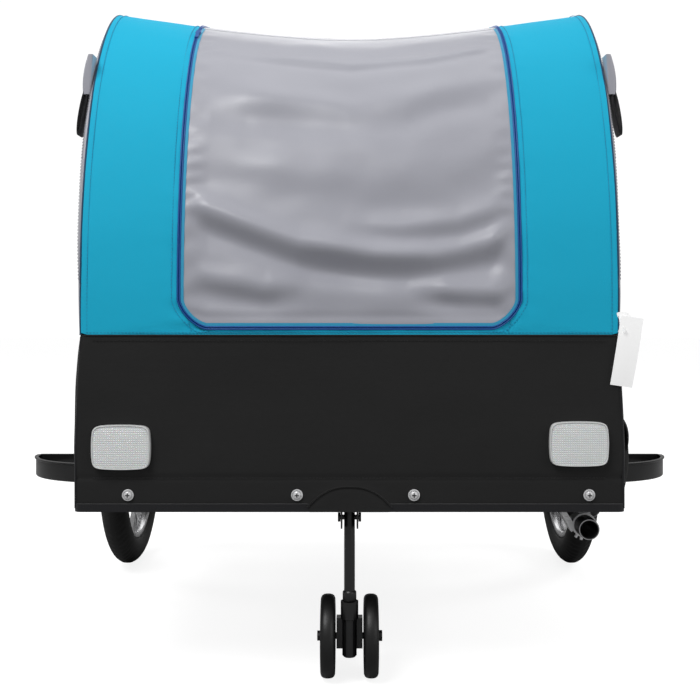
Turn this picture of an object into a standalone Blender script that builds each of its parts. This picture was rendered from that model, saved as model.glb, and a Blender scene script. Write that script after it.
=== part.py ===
"""Child bicycle trailer with a stroller castor, as separate solids in metres, +Z up, front at -Y."""

import math

import bmesh
import bpy
from mathutils import Matrix, Vector

# Driving dimensions. "y" values are distances behind the front panel until SHIFT centres them.
SHIFT = 0.51866
HALF_WIDTH = 0.3186
TUB_BOTTOM = 0.2100
TUB_RIM = 0.4190
TUB_REAR = 0.8750
WALL = 0.0030
GAP = 0.0004
RAIL_R = 0.0110
RAIL_X = 0.3030
RAIL_Z = 0.2300
HOOD_FRONT_Z = 0.4600
HOOD_RUN = 0.2800
HOOD_RISE = 0.4050
HOOD_REAR = (0.6280, 0.8200)
FLAP_HALF = 0.2015
FLAP_LOW = 0.4285
FLAP_TOP_Y = 0.2000
WHEEL_R = 0.2000
WHEEL_X = 0.3850
AXLE_Y = 0.6650
CASTOR_Y = 0.0200
CASTOR_AXLE_Y = 0.0450
CASTOR_R = 0.0500
CASTOR_WHEEL_X = 0.0263
LEG_PIVOT_Z = 0.2000
SOCKET_X = 0.2850
SOCKET_Z = 0.1880
BOW_R = 0.0090
FRONT_BOW_X = 0.3035
REAR_BOW_X = 0.2800
FRONT_BOW_PIVOT = (0.0160, 0.4100)
FRONT_BAR = (0.3300, 0.8320)
REAR_BOW_PIVOT = (0.8400, 0.4000)
REAR_BAR = (0.6150, 0.8050)
SEAT_PIVOT = (0.5700, 0.3350)
SEAT_HEIGHT = 0.3400
SEAT_LEAN = math.radians(11.0)
HANDLE_PIVOT = (0.8970, 0.3750)
HANDLE_TOP = (1.0300, 0.9400)
HANDLE_X = 0.2400
HANDLE_R = 0.0125

MATERIALS = {
    "black_steel": ((0.020, 0.020, 0.022), 0.35, 0.6),
    "silver": ((0.62, 0.62, 0.62), 0.30, 1.0),
    "black_fabric": ((0.020, 0.020, 0.021), 0.85, 0.0),
    "blue_fabric": ((0.024, 0.420, 0.620), 0.70, 0.0),
    "grey_fabric": ((0.400, 0.405, 0.450), 0.65, 0.0),
    "webbing": ((0.011, 0.011, 0.013), 0.80, 0.0),
    "black_plastic": ((0.015, 0.015, 0.016), 0.45, 0.0),
    "reflector_clear": ((0.620, 0.630, 0.625), 0.15, 0.0),
    "tyre_rubber": ((0.008, 0.008, 0.008), 0.75, 0.0),
    "foam": ((0.012, 0.012, 0.012), 0.90, 0.0),
    "tag_white": ((0.800, 0.800, 0.800), 0.50, 0.0),
    "wire": ((0.250, 0.250, 0.260), 0.35, 1.0),
}


def at(x, y, z):
    """A point given behind the front panel, in the object's own frame."""
    return Vector((x, y - SHIFT, z))


def material(name):
    found = bpy.data.materials.get(name)
    if found:
        return found
    colour, roughness, metallic = MATERIALS[name]
    made = bpy.data.materials.new(name)
    made.use_nodes = True
    shader = made.node_tree.nodes["Principled BSDF"]
    shader.inputs["Base Color"].default_value = (*colour, 1.0)
    shader.inputs["Roughness"].default_value = roughness
    shader.inputs["Metallic"].default_value = metallic
    made.diffuse_color = (*colour, 1.0)
    return made


def solid(name, points, faces, look):
    """One closed body from points and faces, with its normals turned outwards."""
    shape = bmesh.new()
    corners = [shape.verts.new(point) for point in points]
    for face in faces:
        shape.faces.new([corners[index] for index in face])
    bmesh.ops.recalc_face_normals(shape, faces=shape.faces)
    if shape.calc_volume(signed=True) < 0:
        bmesh.ops.reverse_faces(shape, faces=shape.faces)
    mesh = bpy.data.meshes.new(name)
    shape.to_mesh(mesh)
    shape.free()
    mesh.shade_smooth()
    mesh.set_sharp_from_angle(angle=math.radians(35))
    obj = bpy.data.objects.new(name, mesh)
    bpy.context.scene.collection.objects.link(obj)
    if look:
        material(look)
        mesh.materials.append(material(look))
    else:
        obj.hide_render = True
        obj.display_type = "WIRE"
    return obj


def ring_faces(rings, count, closed):
    """Quads between successive rings of count points each."""
    spans = rings if closed else rings - 1
    faces = []
    for ring in range(spans):
        low = ring * count
        high = (ring + 1) % rings * count
        for side in range(count):
            after = (side + 1) % count
            faces.append((low + side, low + after, high + after, high + side))
    return faces


def stack(name, rings, look, closed=False):
    """A skin through equal rings of points, capped at both ends unless it closes on itself."""
    count = len(rings[0])
    faces = ring_faces(len(rings), count, closed)
    if not closed:
        faces.append(tuple(range(count)))
        faces.append(tuple(range(len(rings) * count - count, len(rings) * count)))
    return solid(name, [point for ring in rings for point in ring], faces, look)


def circle(radius, sides):
    return [
        (
            radius * math.cos(2 * math.pi * (step + 0.5) / sides),
            radius * math.sin(2 * math.pi * (step + 0.5) / sides),
        )
        for step in range(sides)
    ]


def sweep(name, path, profile, look, up=(0, 0, 1), closed=False):
    """A profile carried along a planar path whose plane's normal is up; mitred at each bend."""
    up = Vector(up)
    path = [Vector(point) for point in path]
    last = len(path) - 1
    rings = []
    for index, point in enumerate(path):
        before = path[index - 1] if index or closed else None
        after = path[(index + 1) % len(path)] if index < last or closed else None
        into = (point - before).normalized() if before is not None else (after - point).normalized()
        out = (after - point).normalized() if after is not None else into
        along = (into + out).normalized()
        side = up.cross(along).normalized()
        stretch = 1 / max(along.dot(into), 0.5)
        rings.append([point + side * (u * stretch) + up * v for u, v in profile])
    return stack(name, rings, look, closed)


def lathe(name, profile, centre, axis, sides, look):
    """A closed outline of (radius, along) pairs, clear of the axis, turned about it."""
    turn = Vector((0, 0, 1)).rotation_difference(Vector(axis)).to_matrix()
    rings = []
    for step in range(sides):
        angle = 2 * math.pi * step / sides
        rings.append(
            [centre + turn @ Vector((r * math.cos(angle), r * math.sin(angle), h)) for r, h in profile]
        )
    return stack(name, rings, look, closed=True)


def rod(name, profile, centre, axis, sides, look):
    """A solid shaft: rings of (radius, along) from one capped end to the other."""
    turn = Vector((0, 0, 1)).rotation_difference(Vector(axis)).to_matrix()
    rings = [
        [centre + turn @ Vector((x, y, h)) for x, y in circle(radius, sides)] for radius, h in profile
    ]
    return stack(name, rings, look)


def prism(name, outline, start, end, look):
    """An outline of points in a plane, carried from one offset vector to another."""
    rings = [[Vector(point) + Vector(offset) for point in outline] for offset in (start, end)]
    return stack(name, rings, look)


def block(name, low, high, look):
    outline = [
        at(low[0], low[1], 0),
        at(high[0], low[1], 0),
        at(high[0], high[1], 0),
        at(low[0], high[1], 0),
    ]
    return prism(name, outline, (0, 0, low[2]), (0, 0, high[2]), look)


def boolean(obj, other, operation):
    change = obj.modifiers.new(other.name, "BOOLEAN")
    change.operation = operation
    change.solver = "EXACT"
    change.object = other
    other.hide_render = True
    other.display_type = "WIRE"


def cut(obj, *cutters):
    for cutter in cutters:
        boolean(obj, cutter, "DIFFERENCE")


def join(obj, *others):
    for other in others:
        boolean(obj, other, "UNION")


def bevel(obj, width, segments=2):
    change = obj.modifiers.new("edge", "BEVEL")
    change.width = width
    change.segments = segments
    change.limit_method = "ANGLE"
    change.angle_limit = math.radians(50)


def rounded_rectangle(x0, y0, x1, y1, radius, steps):
    """Corner points of a rounded rectangle, going round once."""
    corners = [(x1 - radius, y1 - radius, 0), (x0 + radius, y1 - radius, 90)]
    corners += [(x0 + radius, y0 + radius, 180), (x1 - radius, y0 + radius, 270)]
    points = []
    for x, y, start in corners:
        for step in range(steps + 1):
            angle = math.radians(start + 90 * step / steps)
            points.append((x + radius * math.cos(angle), y + radius * math.sin(angle)))
    return points


def shell(name, outer, inner, look):
    """A thin skin between two equal grids of points."""
    rows, columns = len(outer), len(outer[0])
    size = rows * columns
    points = [point for grid in (outer, inner) for row in grid for point in row]
    faces = []
    for row in range(rows - 1):
        for column in range(columns - 1):
            a = row * columns + column
            quad = (a, a + 1, a + columns + 1, a + columns)
            faces += [quad, tuple(size + index for index in reversed(quad))]
    rim = [column for column in range(columns)]
    rim += [row * columns + columns - 1 for row in range(1, rows)]
    rim += [(rows - 1) * columns + column for column in range(columns - 2, -1, -1)]
    rim += [row * columns for row in range(rows - 2, 0, -1)]
    for index, here in enumerate(rim):
        there = rim[(index + 1) % len(rim)]
        faces.append((there, here, here + size, there + size))
    return solid(name, points, faces, look)


def hood_front(start, end, steps, depth=0.0):
    """Side profile of the hood's front from one fraction of its curve to another, set in by depth."""
    points = []
    for step in range(steps + 1):
        angle = math.radians(start + (end - start) * step / steps)
        run, rise = HOOD_RUN - depth, HOOD_RISE - depth
        points.append((HOOD_RUN - run * math.cos(angle), HOOD_FRONT_Z + rise * math.sin(angle)))
    return points


def angle_at(y):
    """Angle on the hood's front curve at a distance behind the front panel."""
    return math.degrees(math.acos((HOOD_RUN - y) / HOOD_RUN))


def strip(name, outer, inner, stops, look):
    """A skin across the width: a side profile and its inner twin at each x stop."""
    grids = [[[at(x, y, z) for x in stops] for y, z in line] for line in (outer, inner)]
    return shell(name, grids[0], grids[1], look)


def make_frame():
    outline = rounded_rectangle(-RAIL_X, 0.016, RAIL_X, 0.860, 0.045, 4)
    path = [at(x, y, RAIL_Z) for x, y in outline]
    sweep("base_frame", path, circle(RAIL_R, 10), "black_steel", closed=True)

    beam = rod(
        "axle_beam", [(0.0096, -0.334), (0.0096, 0.334)], at(0, AXLE_Y, 0.200), (1, 0, 0), 20,
        "black_steel",
    )
    for side in (-1, 1):
        seat = block(
            f"axle_saddle_{side}", (side * 0.303 - 0.012, 0.645, 0.200),
            (side * 0.303 + 0.012, 0.685, 0.2185), None,
        )
        join(beam, seat)
        bore = rod(
            f"axle_bore_{side}", [(0.0062, -0.03), (0.0062, 0.03)], at(side * 0.310, AXLE_Y, 0.200),
            (1, 0, 0), 16, None,
        )
        cut(beam, bore)
    for side, name in ((1, "left"), (-1, "right")):
        steps = [(0.0060, 0.282), (0.0060, 0.4120), (0.0050, 0.4135)]
        rod(f"{name}_stub_axle", steps, at(0, AXLE_Y, 0.200), (side, 0, 0), 16, "silver")


def make_guards():
    """Flat bands that stand out ahead of each wheel and close back to the side rail."""
    band = [(-0.0015, -0.0126), (0.0015, -0.0126), (0.0015, 0.0126), (-0.0015, 0.0126)]
    start = HALF_WIDTH + 0.0020
    for side, name in ((1, "left"), (-1, "right")):
        path = []
        for step in range(11):
            angle = math.pi / 2 * step / 10
            path.append((start + 0.1180 * math.sin(angle), 0.257 - 0.092 * math.cos(angle)))
        path += [(start + 0.1150, 0.263), (start, 0.263)]
        points = [at(side * x, y, RAIL_Z) for x, y in path]
        sweep(f"{name}_wheel_guard", points, band, "black_plastic", closed=True)


def make_castor_mount():
    plates = [(-0.0105, 0.2185), (-0.0105, 0.1886), (-0.0085, 0.1886), (-0.0085, 0.2165)]
    plates += [(0.0085, 0.2165), (0.0085, 0.1886), (0.0105, 0.1886), (0.0105, 0.2185)]
    outline = [at(x, 0.006, z) for x, z in plates]
    bracket = prism("castor_bracket", outline, (0, 0, 0), (0, 0.028, 0), "black_steel")
    hole = rod(
        "castor_bracket_bore", [(0.0032, -0.02), (0.0032, 0.02)], at(0, CASTOR_Y, LEG_PIVOT_Z),
        (1, 0, 0), 12, None,
    )
    cut(bracket, hole)
    steps = [
        (0.0055, -0.0140), (0.0055, -0.0108), (0.0030, -0.0108), (0.0030, 0.0108), (0.0055, 0.0108),
        (0.0055, 0.0140),
    ]
    rod("castor_pivot_bolt", steps, at(0, CASTOR_Y, LEG_PIVOT_Z), (1, 0, 0), 12, "silver")


def make_castor():
    centre = at(0, CASTOR_Y, 0)
    steps = [(0.0040, 0.0560), (0.0040, 0.0998), (0.0083, 0.0998), (0.0083, 0.1105)]
    steps += [(0.0065, 0.1115), (0.0065, 0.2080), (0.0045, 0.2110)]
    leg = rod("castor_leg", steps, centre, (0, 0, 1), 16, "black_steel")
    cut(
        leg,
        rod("castor_leg_bore", [(0.0032, -0.02), (0.0032, 0.02)], at(0, CASTOR_Y, LEG_PIVOT_Z), (1, 0, 0), 12, None),
    )

    steps = [(0.0070, 0.0325), (0.0088, 0.0345), (0.0088, 0.0775), (0.0107, 0.0785), (0.0107, 0.0993)]
    fork = rod("castor_fork", steps, centre, (0, 0, 1), 20, "black_plastic")
    back = [(0.0215, 0.0779), (0.0215, 0.0413), (0.0540, 0.0400), (0.0560, 0.0560), (0.0440, 0.0760)]
    outline = [at(-0.0157, y, z) for y, z in back]
    join(fork, prism("castor_fork_block", outline, (0, 0, 0), (0.0314, 0, 0), None))
    cut(fork, rod("castor_fork_bore", [(0.0042, 0.0530), (0.0042, 0.11)], centre, (0, 0, 1), 16, None))
    axle = at(0, CASTOR_AXLE_Y, CASTOR_R)
    cut(fork, rod("castor_axle_bore", [(0.0041, -0.02), (0.0041, 0.02)], axle, (1, 0, 0), 12, None))

    steps = [
        (0.0060, -0.0395), (0.0060, -0.0362), (0.0040, -0.0360), (0.0040, 0.0362), (0.0065, 0.0364),
        (0.0065, 0.0400),
    ]
    rod("castor_axle", steps, axle, (1, 0, 0), 12, "silver")

    hub = [(0.0041, -0.0086), (0.0041, 0.0086), (0.0100, 0.0086), (0.0120, 0.0040), (0.0310, 0.0040)]
    hub += [(0.0340, 0.0080), (0.0370, 0.0080), (0.0370, -0.0080), (0.0340, -0.0080), (0.0310, -0.0040)]
    hub += [(0.0120, -0.0040), (0.0100, -0.0086)]
    tread = [(0.0373, -0.0085), (0.0373, 0.0085), (0.0450, 0.0090), (0.0490, 0.0065), (0.0500, 0.0020)]
    tread += [(0.0500, -0.0020), (0.0490, -0.0065), (0.0450, -0.0090)]
    for side, name in ((1, "left"), (-1, "right")):
        middle = at(side * CASTOR_WHEEL_X, CASTOR_AXLE_Y, CASTOR_R)
        lathe(f"castor_{name}_hub", hub, middle, (1, 0, 0), 20, "black_plastic")
        lathe(f"castor_{name}_tread", tread, middle, (1, 0, 0), 28, "tyre_rubber")


def spoke_fan(name, middle):
    """Hub shell with slanted spokes that reach to the rim's well."""
    hub = [(0.0064, -0.0240), (0.0064, 0.0240), (0.0120, 0.0240), (0.0200, 0.0200), (0.0200, 0.0165)]
    hub += [(0.0110, 0.0140), (0.0110, -0.0140), (0.0200, -0.0165), (0.0200, -0.0200), (0.0120, -0.0240)]
    fan = lathe(name, hub, middle, (1, 0, 0), 20, "silver")
    for index in range(16):
        angle = 2 * math.pi * index / 16
        lean = math.radians(14)
        side = 0.0182 if index % 2 else -0.0182
        start = middle + Vector((side, 0.0185 * math.cos(angle + lean), 0.0185 * math.sin(angle + lean)))
        end = middle + Vector((side * 0.1, 0.1442 * math.cos(angle), 0.1442 * math.sin(angle)))
        span = end - start
        join(
            fan,
            rod(f"{name}_spoke_{index}", [(0.0013, 0), (0.0013, span.length)], start, span.normalized(), 5, None),
        )
    return fan


def make_wheels():
    rim = [
        (0.1450, -0.0040), (0.1450, 0.0040), (0.1480, 0.0150), (0.1560, 0.0155), (0.1560, 0.0130),
        (0.1495, 0.0105),
    ]
    rim += [(0.1495, -0.0105), (0.1560, -0.0130), (0.1560, -0.0155), (0.1480, -0.0150)]
    tyre = [(0.1530, -0.0100), (0.1530, 0.0100), (0.1570, 0.0120), (0.1570, 0.0160), (0.1690, 0.0218)]
    tyre += [(0.1830, 0.0200), (0.1945, 0.0125), (0.2000, 0.0030), (0.2000, -0.0030), (0.1945, -0.0125)]
    tyre += [(0.1830, -0.0200), (0.1690, -0.0218), (0.1570, -0.0160), (0.1570, -0.0120)]
    for side, name in ((1, "left"), (-1, "right")):
        middle = at(side * WHEEL_X, AXLE_Y, WHEEL_R)
        lathe(f"{name}_tyre", tyre, middle, (1, 0, 0), 32, "tyre_rubber")
        lathe(f"{name}_rim", rim, middle, (1, 0, 0), 32, "silver")
        spoke_fan(f"{name}_spokes", middle)


def make_tow_socket():
    low, high = 0.004, 0.190
    outline = [(0.0105, low), (0.0105, high), (0.0125, high), (0.0125, low)]
    middle = at(SOCKET_X, 0, SOCKET_Z)
    socket = lathe("tow_socket", outline, middle, (0, 1, 0), 24, "black_steel")
    cut(
        socket,
        rod("tow_pin_bore", [(0.0042, -0.02), (0.0042, 0.02)], at(SOCKET_X, 0.090, SOCKET_Z), (1, 0, 0), 16, None),
    )
    steps = [(0.0030, -0.0170), (0.0040, -0.0155), (0.0040, 0.0150), (0.0070, 0.0150), (0.0070, 0.0190)]
    rod("tow_pin", steps, at(SOCKET_X, 0.090, SOCKET_Z), (1, 0, 0), 16, "silver")

    clamp = lathe(
        "tow_socket_bracket", [(0.0129, 0.030), (0.0129, 0.052), (0.0149, 0.052), (0.0149, 0.030)],
        middle, (0, 1, 0), 24, "silver",
    )
    brace = [(0.2500, 0.2150), (0.2560, 0.2150), (0.2722, 0.1900), (0.2722, 0.1820), (0.2690, 0.1800)]
    join(clamp, prism("tow_brace", [at(x, 0.030, z) for x, z in brace], (0, 0, 0), (0, 0.022, 0), None))
    lug = [(0.2800, 0.2015), (0.2800, 0.2186), (0.2930, 0.2186), (0.2930, 0.2015)]
    join(clamp, prism("tow_lug", [at(x, 0.036, z) for x, z in lug], (0, 0, 0), (0, 0.012, 0), None))
    prong = [(0.0018, 0.0140), (0.0018, 0.0185)]
    for index, angle in enumerate((199, 235, 259)):
        out = Vector((math.cos(math.radians(angle)), 0, math.sin(math.radians(angle))))
        join(
            clamp,
            rod(f"tow_prong_{index}", prong, at(SOCKET_X, 0.034, SOCKET_Z), out, 8, None),
        )

    loop = [(0.3005, 0.2170), (0.3120, 0.2110), (0.3150, 0.2010), (0.3110, 0.1920), (0.3050, 0.1880)]
    path = [at(x, 0.081, z) for x, z in loop]
    sweep("pin_lanyard", path, circle(0.0009, 6), "wire", up=(0, 1, 0))


def make_tub():
    """Front, sides and rear wall in one skin, with the floor set above the rails and a skirt below."""
    levels = [
        (WALL, 0.2425), (WALL, TUB_BOTTOM), (0, TUB_BOTTOM), (0, TUB_RIM), (WALL, TUB_RIM),
        (WALL, 0.2455),
    ]
    rings = []
    for inset, z in levels:
        outline = rounded_rectangle(
            -HALF_WIDTH + inset, inset, HALF_WIDTH - inset, TUB_REAR - inset, 0.012 - inset, 3
        )
        rings.append([at(x, y, z) for x, y in outline])
    stack("tub", rings, "black_fabric")


def side_top(y):
    """Height of the hood's side edge at a distance behind the front panel."""
    if y <= HOOD_RUN:
        return HOOD_FRONT_Z + HOOD_RISE * math.sqrt(max(0.0, 1 - ((HOOD_RUN - y) / HOOD_RUN) ** 2))
    if y <= HOOD_REAR[0]:
        fraction = (y - HOOD_RUN) / (HOOD_REAR[0] - HOOD_RUN)
        return HOOD_FRONT_Z + HOOD_RISE + (HOOD_REAR[1] - HOOD_FRONT_Z - HOOD_RISE) * fraction**1.4
    fraction = (y - HOOD_REAR[0]) / (TUB_REAR - HOOD_REAR[0])
    return HOOD_REAR[1] + (TUB_RIM + 0.004 - HOOD_REAR[1]) * fraction


def make_covers():
    skin = 0.0025
    low = TUB_RIM + GAP
    turn = angle_at(FLAP_TOP_Y)
    bend = angle_at(0.2500)
    outer = [(0, low), (0, FLAP_LOW - 0.001)] + hood_front(0, turn + 2, 8) + hood_front(turn + 2, bend, 1)[1:]
    inner = [(skin, low), (skin, FLAP_LOW - 0.001)] + hood_front(0, turn + 2, 8, skin)
    inner += hood_front(turn + 2, bend, 1, skin)[1:]
    stops = (-HALF_WIDTH, -FLAP_HALF - 0.001, 0.0, FLAP_HALF + 0.001, HALF_WIDTH)
    cover = strip("front_cover", outer, inner, stops, "blue_fabric")
    window = block(
        "flap_window", (-FLAP_HALF - 0.001, -0.05, FLAP_LOW - 0.001),
        (FLAP_HALF + 0.001, FLAP_TOP_Y + 0.0012, 0.90), None,
    )
    cut(cover, window)

    outer = [(0, FLAP_LOW)] + hood_front(0, turn, 8)
    inner = [(skin, FLAP_LOW)] + hood_front(0, turn, 8, skin)
    strip("front_flap", outer, inner, (-FLAP_HALF, 0.0, FLAP_HALF), "grey_fabric")

    run = [0.2506, 0.280, 0.340, 0.420, 0.520, 0.6240]
    outer = [(y, side_top(y)) for y in run]
    inner = [(y, side_top(y) - skin) for y in run]
    strip("roof_panel", outer, inner, (-HALF_WIDTH, 0.0, HALF_WIDTH), "grey_fabric")

    top, foot = (HOOD_REAR[0] + 0.0002, HOOD_REAR[1]), (TUB_REAR - 0.001, low)
    outer = [(top[0] + (foot[0] - top[0]) * t / 4, top[1] + (foot[1] - top[1]) * t / 4) for t in range(5)]
    inner = [(y - skin * 1.2, z) for y, z in outer]
    strip("rear_cover", outer, inner, (-HALF_WIDTH, 0.0, HALF_WIDTH), "black_fabric")

    for side, name in ((1, "left"), (-1, "right")):
        make_side_panel(f"{name}_side_panel", side)


def make_side_panel(name, side):
    """Side fabric that bellies outwards between the hood's edge and the tub's rim."""
    low = TUB_RIM + GAP
    stops = (
        0.0006, 0.008, 0.030, 0.070, 0.130, 0.200, 0.280, 0.400, 0.520, HOOD_REAR[0], 0.700, 0.790,
        0.8744,
    )
    rows = 6
    outer, inner = [], []
    for y in stops:
        u = y / TUB_REAR
        top = max(side_top(y) - 0.001, low + 0.012)
        outer.append([])
        inner.append([])
        for row in range(rows + 1):
            v = row / rows
            belly = 0.0170 * math.sin(math.pi * u) ** 0.7 * math.sin(math.pi * v) ** 0.8
            z = low + (top - low) * v
            outer[-1].append(at(side * (HALF_WIDTH + 0.0032 + belly), y, z))
            inner[-1].append(at(side * (HALF_WIDTH + 0.0004 + belly), y, z))
    shell(name, outer, inner, "grey_fabric")


def make_fittings():
    for index, x in enumerate((-0.2625, -0.0622, 0.0764, 0.2839)):
        steps = [(0.0070, 0.0004), (0.0070, 0.0016), (0.0046, 0.0018), (0.0042, 0.0034), (0.0022, 0.0044)]
        rod(f"front_screw_{index + 1}", steps, at(x, 0, RAIL_Z), (0, -1, 0), 14, "silver")
    for side, name, x, z in ((1, "left", 0.271, 0.291), (-1, "right", -0.270, 0.287)):
        make_reflector(name, x, z)
    pocket = [
        (HALF_WIDTH + 0.0006, 0.2140), (0.3400, 0.2200), (0.3450, 0.2600), (0.3440, 0.3100),
        (HALF_WIDTH + 0.0006, 0.3250),
    ]
    made = prism(
        "side_pocket", [at(x, 0.045, z) for x, z in pocket], (0, 0, 0), (0, 0.100, 0),
        "black_fabric",
    )
    bevel(made, 0.006)
    for side, name in ((1, "left"), (-1, "right")):
        grey = block(
            f"{name}_side_tab", (side * 0.3242, 0.0820, 0.727), (side * 0.3400, 0.0840, 0.769),
            "grey_fabric",
        )
        loop = [(0.3300, 0.7262), (0.3395, 0.7080), (0.3340, 0.6670), (0.3275, 0.7080), (0.3285, 0.7262)]
        path = [at(side * x, 0.0830, z) for x, z in loop]
        web = [(-0.0006, -0.0120), (0.0006, -0.0120), (0.0006, 0.0120), (-0.0006, 0.0120)]
        sweep(f"{name}_side_strap", path, web, "webbing", up=(0, 1, 0))
    lean = math.radians(9)
    card = []
    for x, z in rounded_rectangle(-0.0135, -0.086, 0.0135, 0.0, 0.003, 2):
        across = x * math.cos(lean) + z * math.sin(lean)
        up = z * math.cos(lean) - x * math.sin(lean)
        card.append(at(0.3340 + across, -0.0020, 0.4370 + up))
    tag = prism("hang_tag", card, (0, 0, 0), (0, 0.0012, 0), "tag_white")
    eye = at(0.3325, -0.0020, 0.4300)
    cut(tag, rod("hang_tag_eye", [(0.0022, -0.004), (0.0022, 0.006)], eye, (0, 1, 0), 12, None))


def make_reflector(name, x, z):
    """A rounded tray with a clear lens set in it."""
    layers = [(1.0, 0.0004), (1.0, 0.0080), (0.93, 0.0094), (0.88, 0.0094), (0.88, 0.0040)]
    rings = [oval_ring(x, z, scale, depth) for scale, depth in layers]
    stack(f"{name}_reflector_tray", rings, "black_plastic")
    layers = [(0.865, 0.0044), (0.865, 0.0092), (0.80, 0.0102)]
    rings = [oval_ring(x, z, scale, depth) for scale, depth in layers]
    stack(f"{name}_reflector_lens", rings, "reflector_clear")


def oval_ring(x, z, scale, depth):
    """A squarish oval parallel to the front panel."""
    ring = []
    for step in range(24):
        angle = 2 * math.pi * step / 24
        c, s = math.cos(angle), math.sin(angle)
        u = math.copysign(abs(c) ** 0.42, c) * 0.0350 * scale
        v = math.copysign(abs(s) ** 0.42, s) * 0.0265 * scale
        ring.append(at(x + u, -depth, z + v))
    return ring


def make_bows():
    depth = 0.0125
    turn = [(HOOD_RUN - (HOOD_RUN - depth) * math.cos(a), HOOD_FRONT_Z + (HOOD_RISE - depth) * math.sin(a))
            for a in [math.radians(10 * step) for step in range(9)]]
    for side, name in ((1, "left"), (-1, "right")):
        x = side * FRONT_BOW_X
        line = [(FRONT_BOW_PIVOT[0], FRONT_BOW_PIVOT[1] - 0.006)] + turn + [
            (0.2950, 0.8515), (0.3180, 0.8440)
        ]
        path = [at(x, y, z) for y, z in line]
        leg = sweep(f"front_bow_{name}", path, circle(BOW_R, 10), "black_steel", up=(1, 0, 0))
        cut(
            leg,
            rod(f"front_bow_eye_{name}", [(0.003, -0.03), (0.003, 0.03)], at(x, *FRONT_BOW_PIVOT), (1, 0, 0), 10, None),
        )
        foot, top = Vector(REAR_BOW_PIVOT), Vector(REAR_BAR)
        along = (top - foot).normalized()
        ends = [foot - along * 0.012, top + along * 0.006]
        path = [at(side * REAR_BOW_X, point[0], point[1]) for point in ends]
        leg = sweep(f"rear_bow_{name}", path, circle(BOW_R, 10), "black_steel", up=(1, 0, 0))
        cut(
            leg,
            rod(
                f"rear_bow_eye_{name}", [(0.003, -0.03), (0.003, 0.03)],
                at(side * REAR_BOW_X, *REAR_BOW_PIVOT), (1, 0, 0), 10, None,
            ),
        )
    reach = FRONT_BOW_X + BOW_R
    rod(
        "front_crossbar", [(0.0085, -reach), (0.0085, reach)], at(0, 0.3282, 0.8320), (1, 0, 0), 14,
        "black_steel",
    )
    reach = REAR_BOW_X - BOW_R - 0.0003
    rod(
        "rear_crossbar", [(0.0085, -reach), (0.0085, reach)], at(0, *REAR_BAR), (1, 0, 0), 14,
        "black_steel",
    )


def cushion(name, outline, half_width, look):
    """A padded board: a rounded side outline carried across the width, softened at its edges."""
    made = prism(name, [at(-half_width, y, z) for y, z in outline], (0, 0, 0), (2 * half_width, 0, 0), look)
    bevel(made, 0.006)
    return made


def make_seat():
    cushion(
        "seat_base",
        [(0.300, 0.2465), (0.290, 0.305), (0.300, 0.315), (0.545, 0.300), (0.545, 0.2465)], 0.260,
        "grey_fabric",
    )
    back = Vector((math.sin(SEAT_LEAN), math.cos(SEAT_LEAN)))
    side = Vector((back[1], -back[0]))
    corners = [(0.010, -0.010), (SEAT_HEIGHT, -0.010), (SEAT_HEIGHT, 0.010), (0.010, 0.010)]
    base = Vector(SEAT_PIVOT)
    outline = [base + back * v + side * u for v, u in corners]
    cushion("seat_back", [tuple(point) for point in outline], 0.260, "grey_fabric")
    for sign, name in ((1, "left"), (-1, "right")):
        make_harness(f"harness_{name}", sign * 0.130, base, back, side)


def make_harness(name, middle, base, back, side):
    """Two shoulder straps joined by a waist strap, lying on the seat back."""
    outline = [(-0.0700, 0.050), (0.0700, 0.050), (0.0700, 0.315), (0.0450, 0.315), (0.0450, 0.080)]
    outline += [(-0.0450, 0.080), (-0.0450, 0.315), (-0.0700, 0.315)]
    rings = []
    for off in (-0.0104, -0.0124):
        rings.append([at(middle + x, *(base + back * v + side * off)) for x, v in outline])
    stack(name, rings, "webbing")


def make_handle():
    foot, top = Vector(HANDLE_PIVOT), Vector(HANDLE_TOP)
    along = (top - foot).normalized()
    radius, steps = 0.060, 4
    side_path = [(foot - along * 0.010, HANDLE_X)]
    for step in range(steps + 1):
        angle = math.pi / 2 * step / steps
        point = top - along * (radius * (1 - math.sin(angle)))
        side_path.append((point, HANDLE_X - radius * (1 - math.cos(angle))))
    line = [at(x, *point) for point, x in side_path]
    line += [at(-x, *point) for point, x in reversed(side_path)]
    normal = Vector((1, 0, 0)).cross(Vector((0, along[0], along[1])))
    tube = sweep("push_handle", line, circle(HANDLE_R, 12), "black_steel", up=normal)
    for side, name in ((1, "left"), (-1, "right")):
        centre = at(side * HANDLE_X, *HANDLE_PIVOT)
        cut(
            tube,
            rod(f"handle_bore_{name}", [(0.0045, -0.03), (0.0045, 0.03)], centre, (1, 0, 0), 12, None),
        )
        plate = block(
            f"{name}_handle_bracket", (side * HANDLE_X - 0.0160, 0.8754, 0.345),
            (side * HANDLE_X + 0.0160, 0.8784, 0.405), "black_steel",
        )
        for cheek in (-1, 1):
            x = side * HANDLE_X + cheek * 0.0145
            wing = [
                (0.8780, 0.405), (0.8780, 0.345), (0.8980, 0.360), (0.9080, 0.368), (0.9080, 0.382),
                (0.8980, 0.390),
            ]
            join(
                plate,
                prism(
                    f"handle_cheek_{name}_{cheek}", [at(x - 0.0015, y, z) for y, z in wing],
                    (0, 0, 0), (0.003, 0, 0), None,
                ),
            )
        join(
            plate,
            rod(f"handle_stud_{name}", [(0.0042, -0.0150), (0.0042, 0.0150)], centre, (1, 0, 0), 12, None),
        )
    grip = [(HANDLE_R + 0.0004, -0.150), (HANDLE_R + 0.0004, 0.150), (0.0165, 0.150), (0.0178, 0.145)]
    grip += [(0.0178, -0.145), (0.0165, -0.150)]
    lathe("handle_grip", grip, at(0, *top), (1, 0, 0), 18, "foam")


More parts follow.
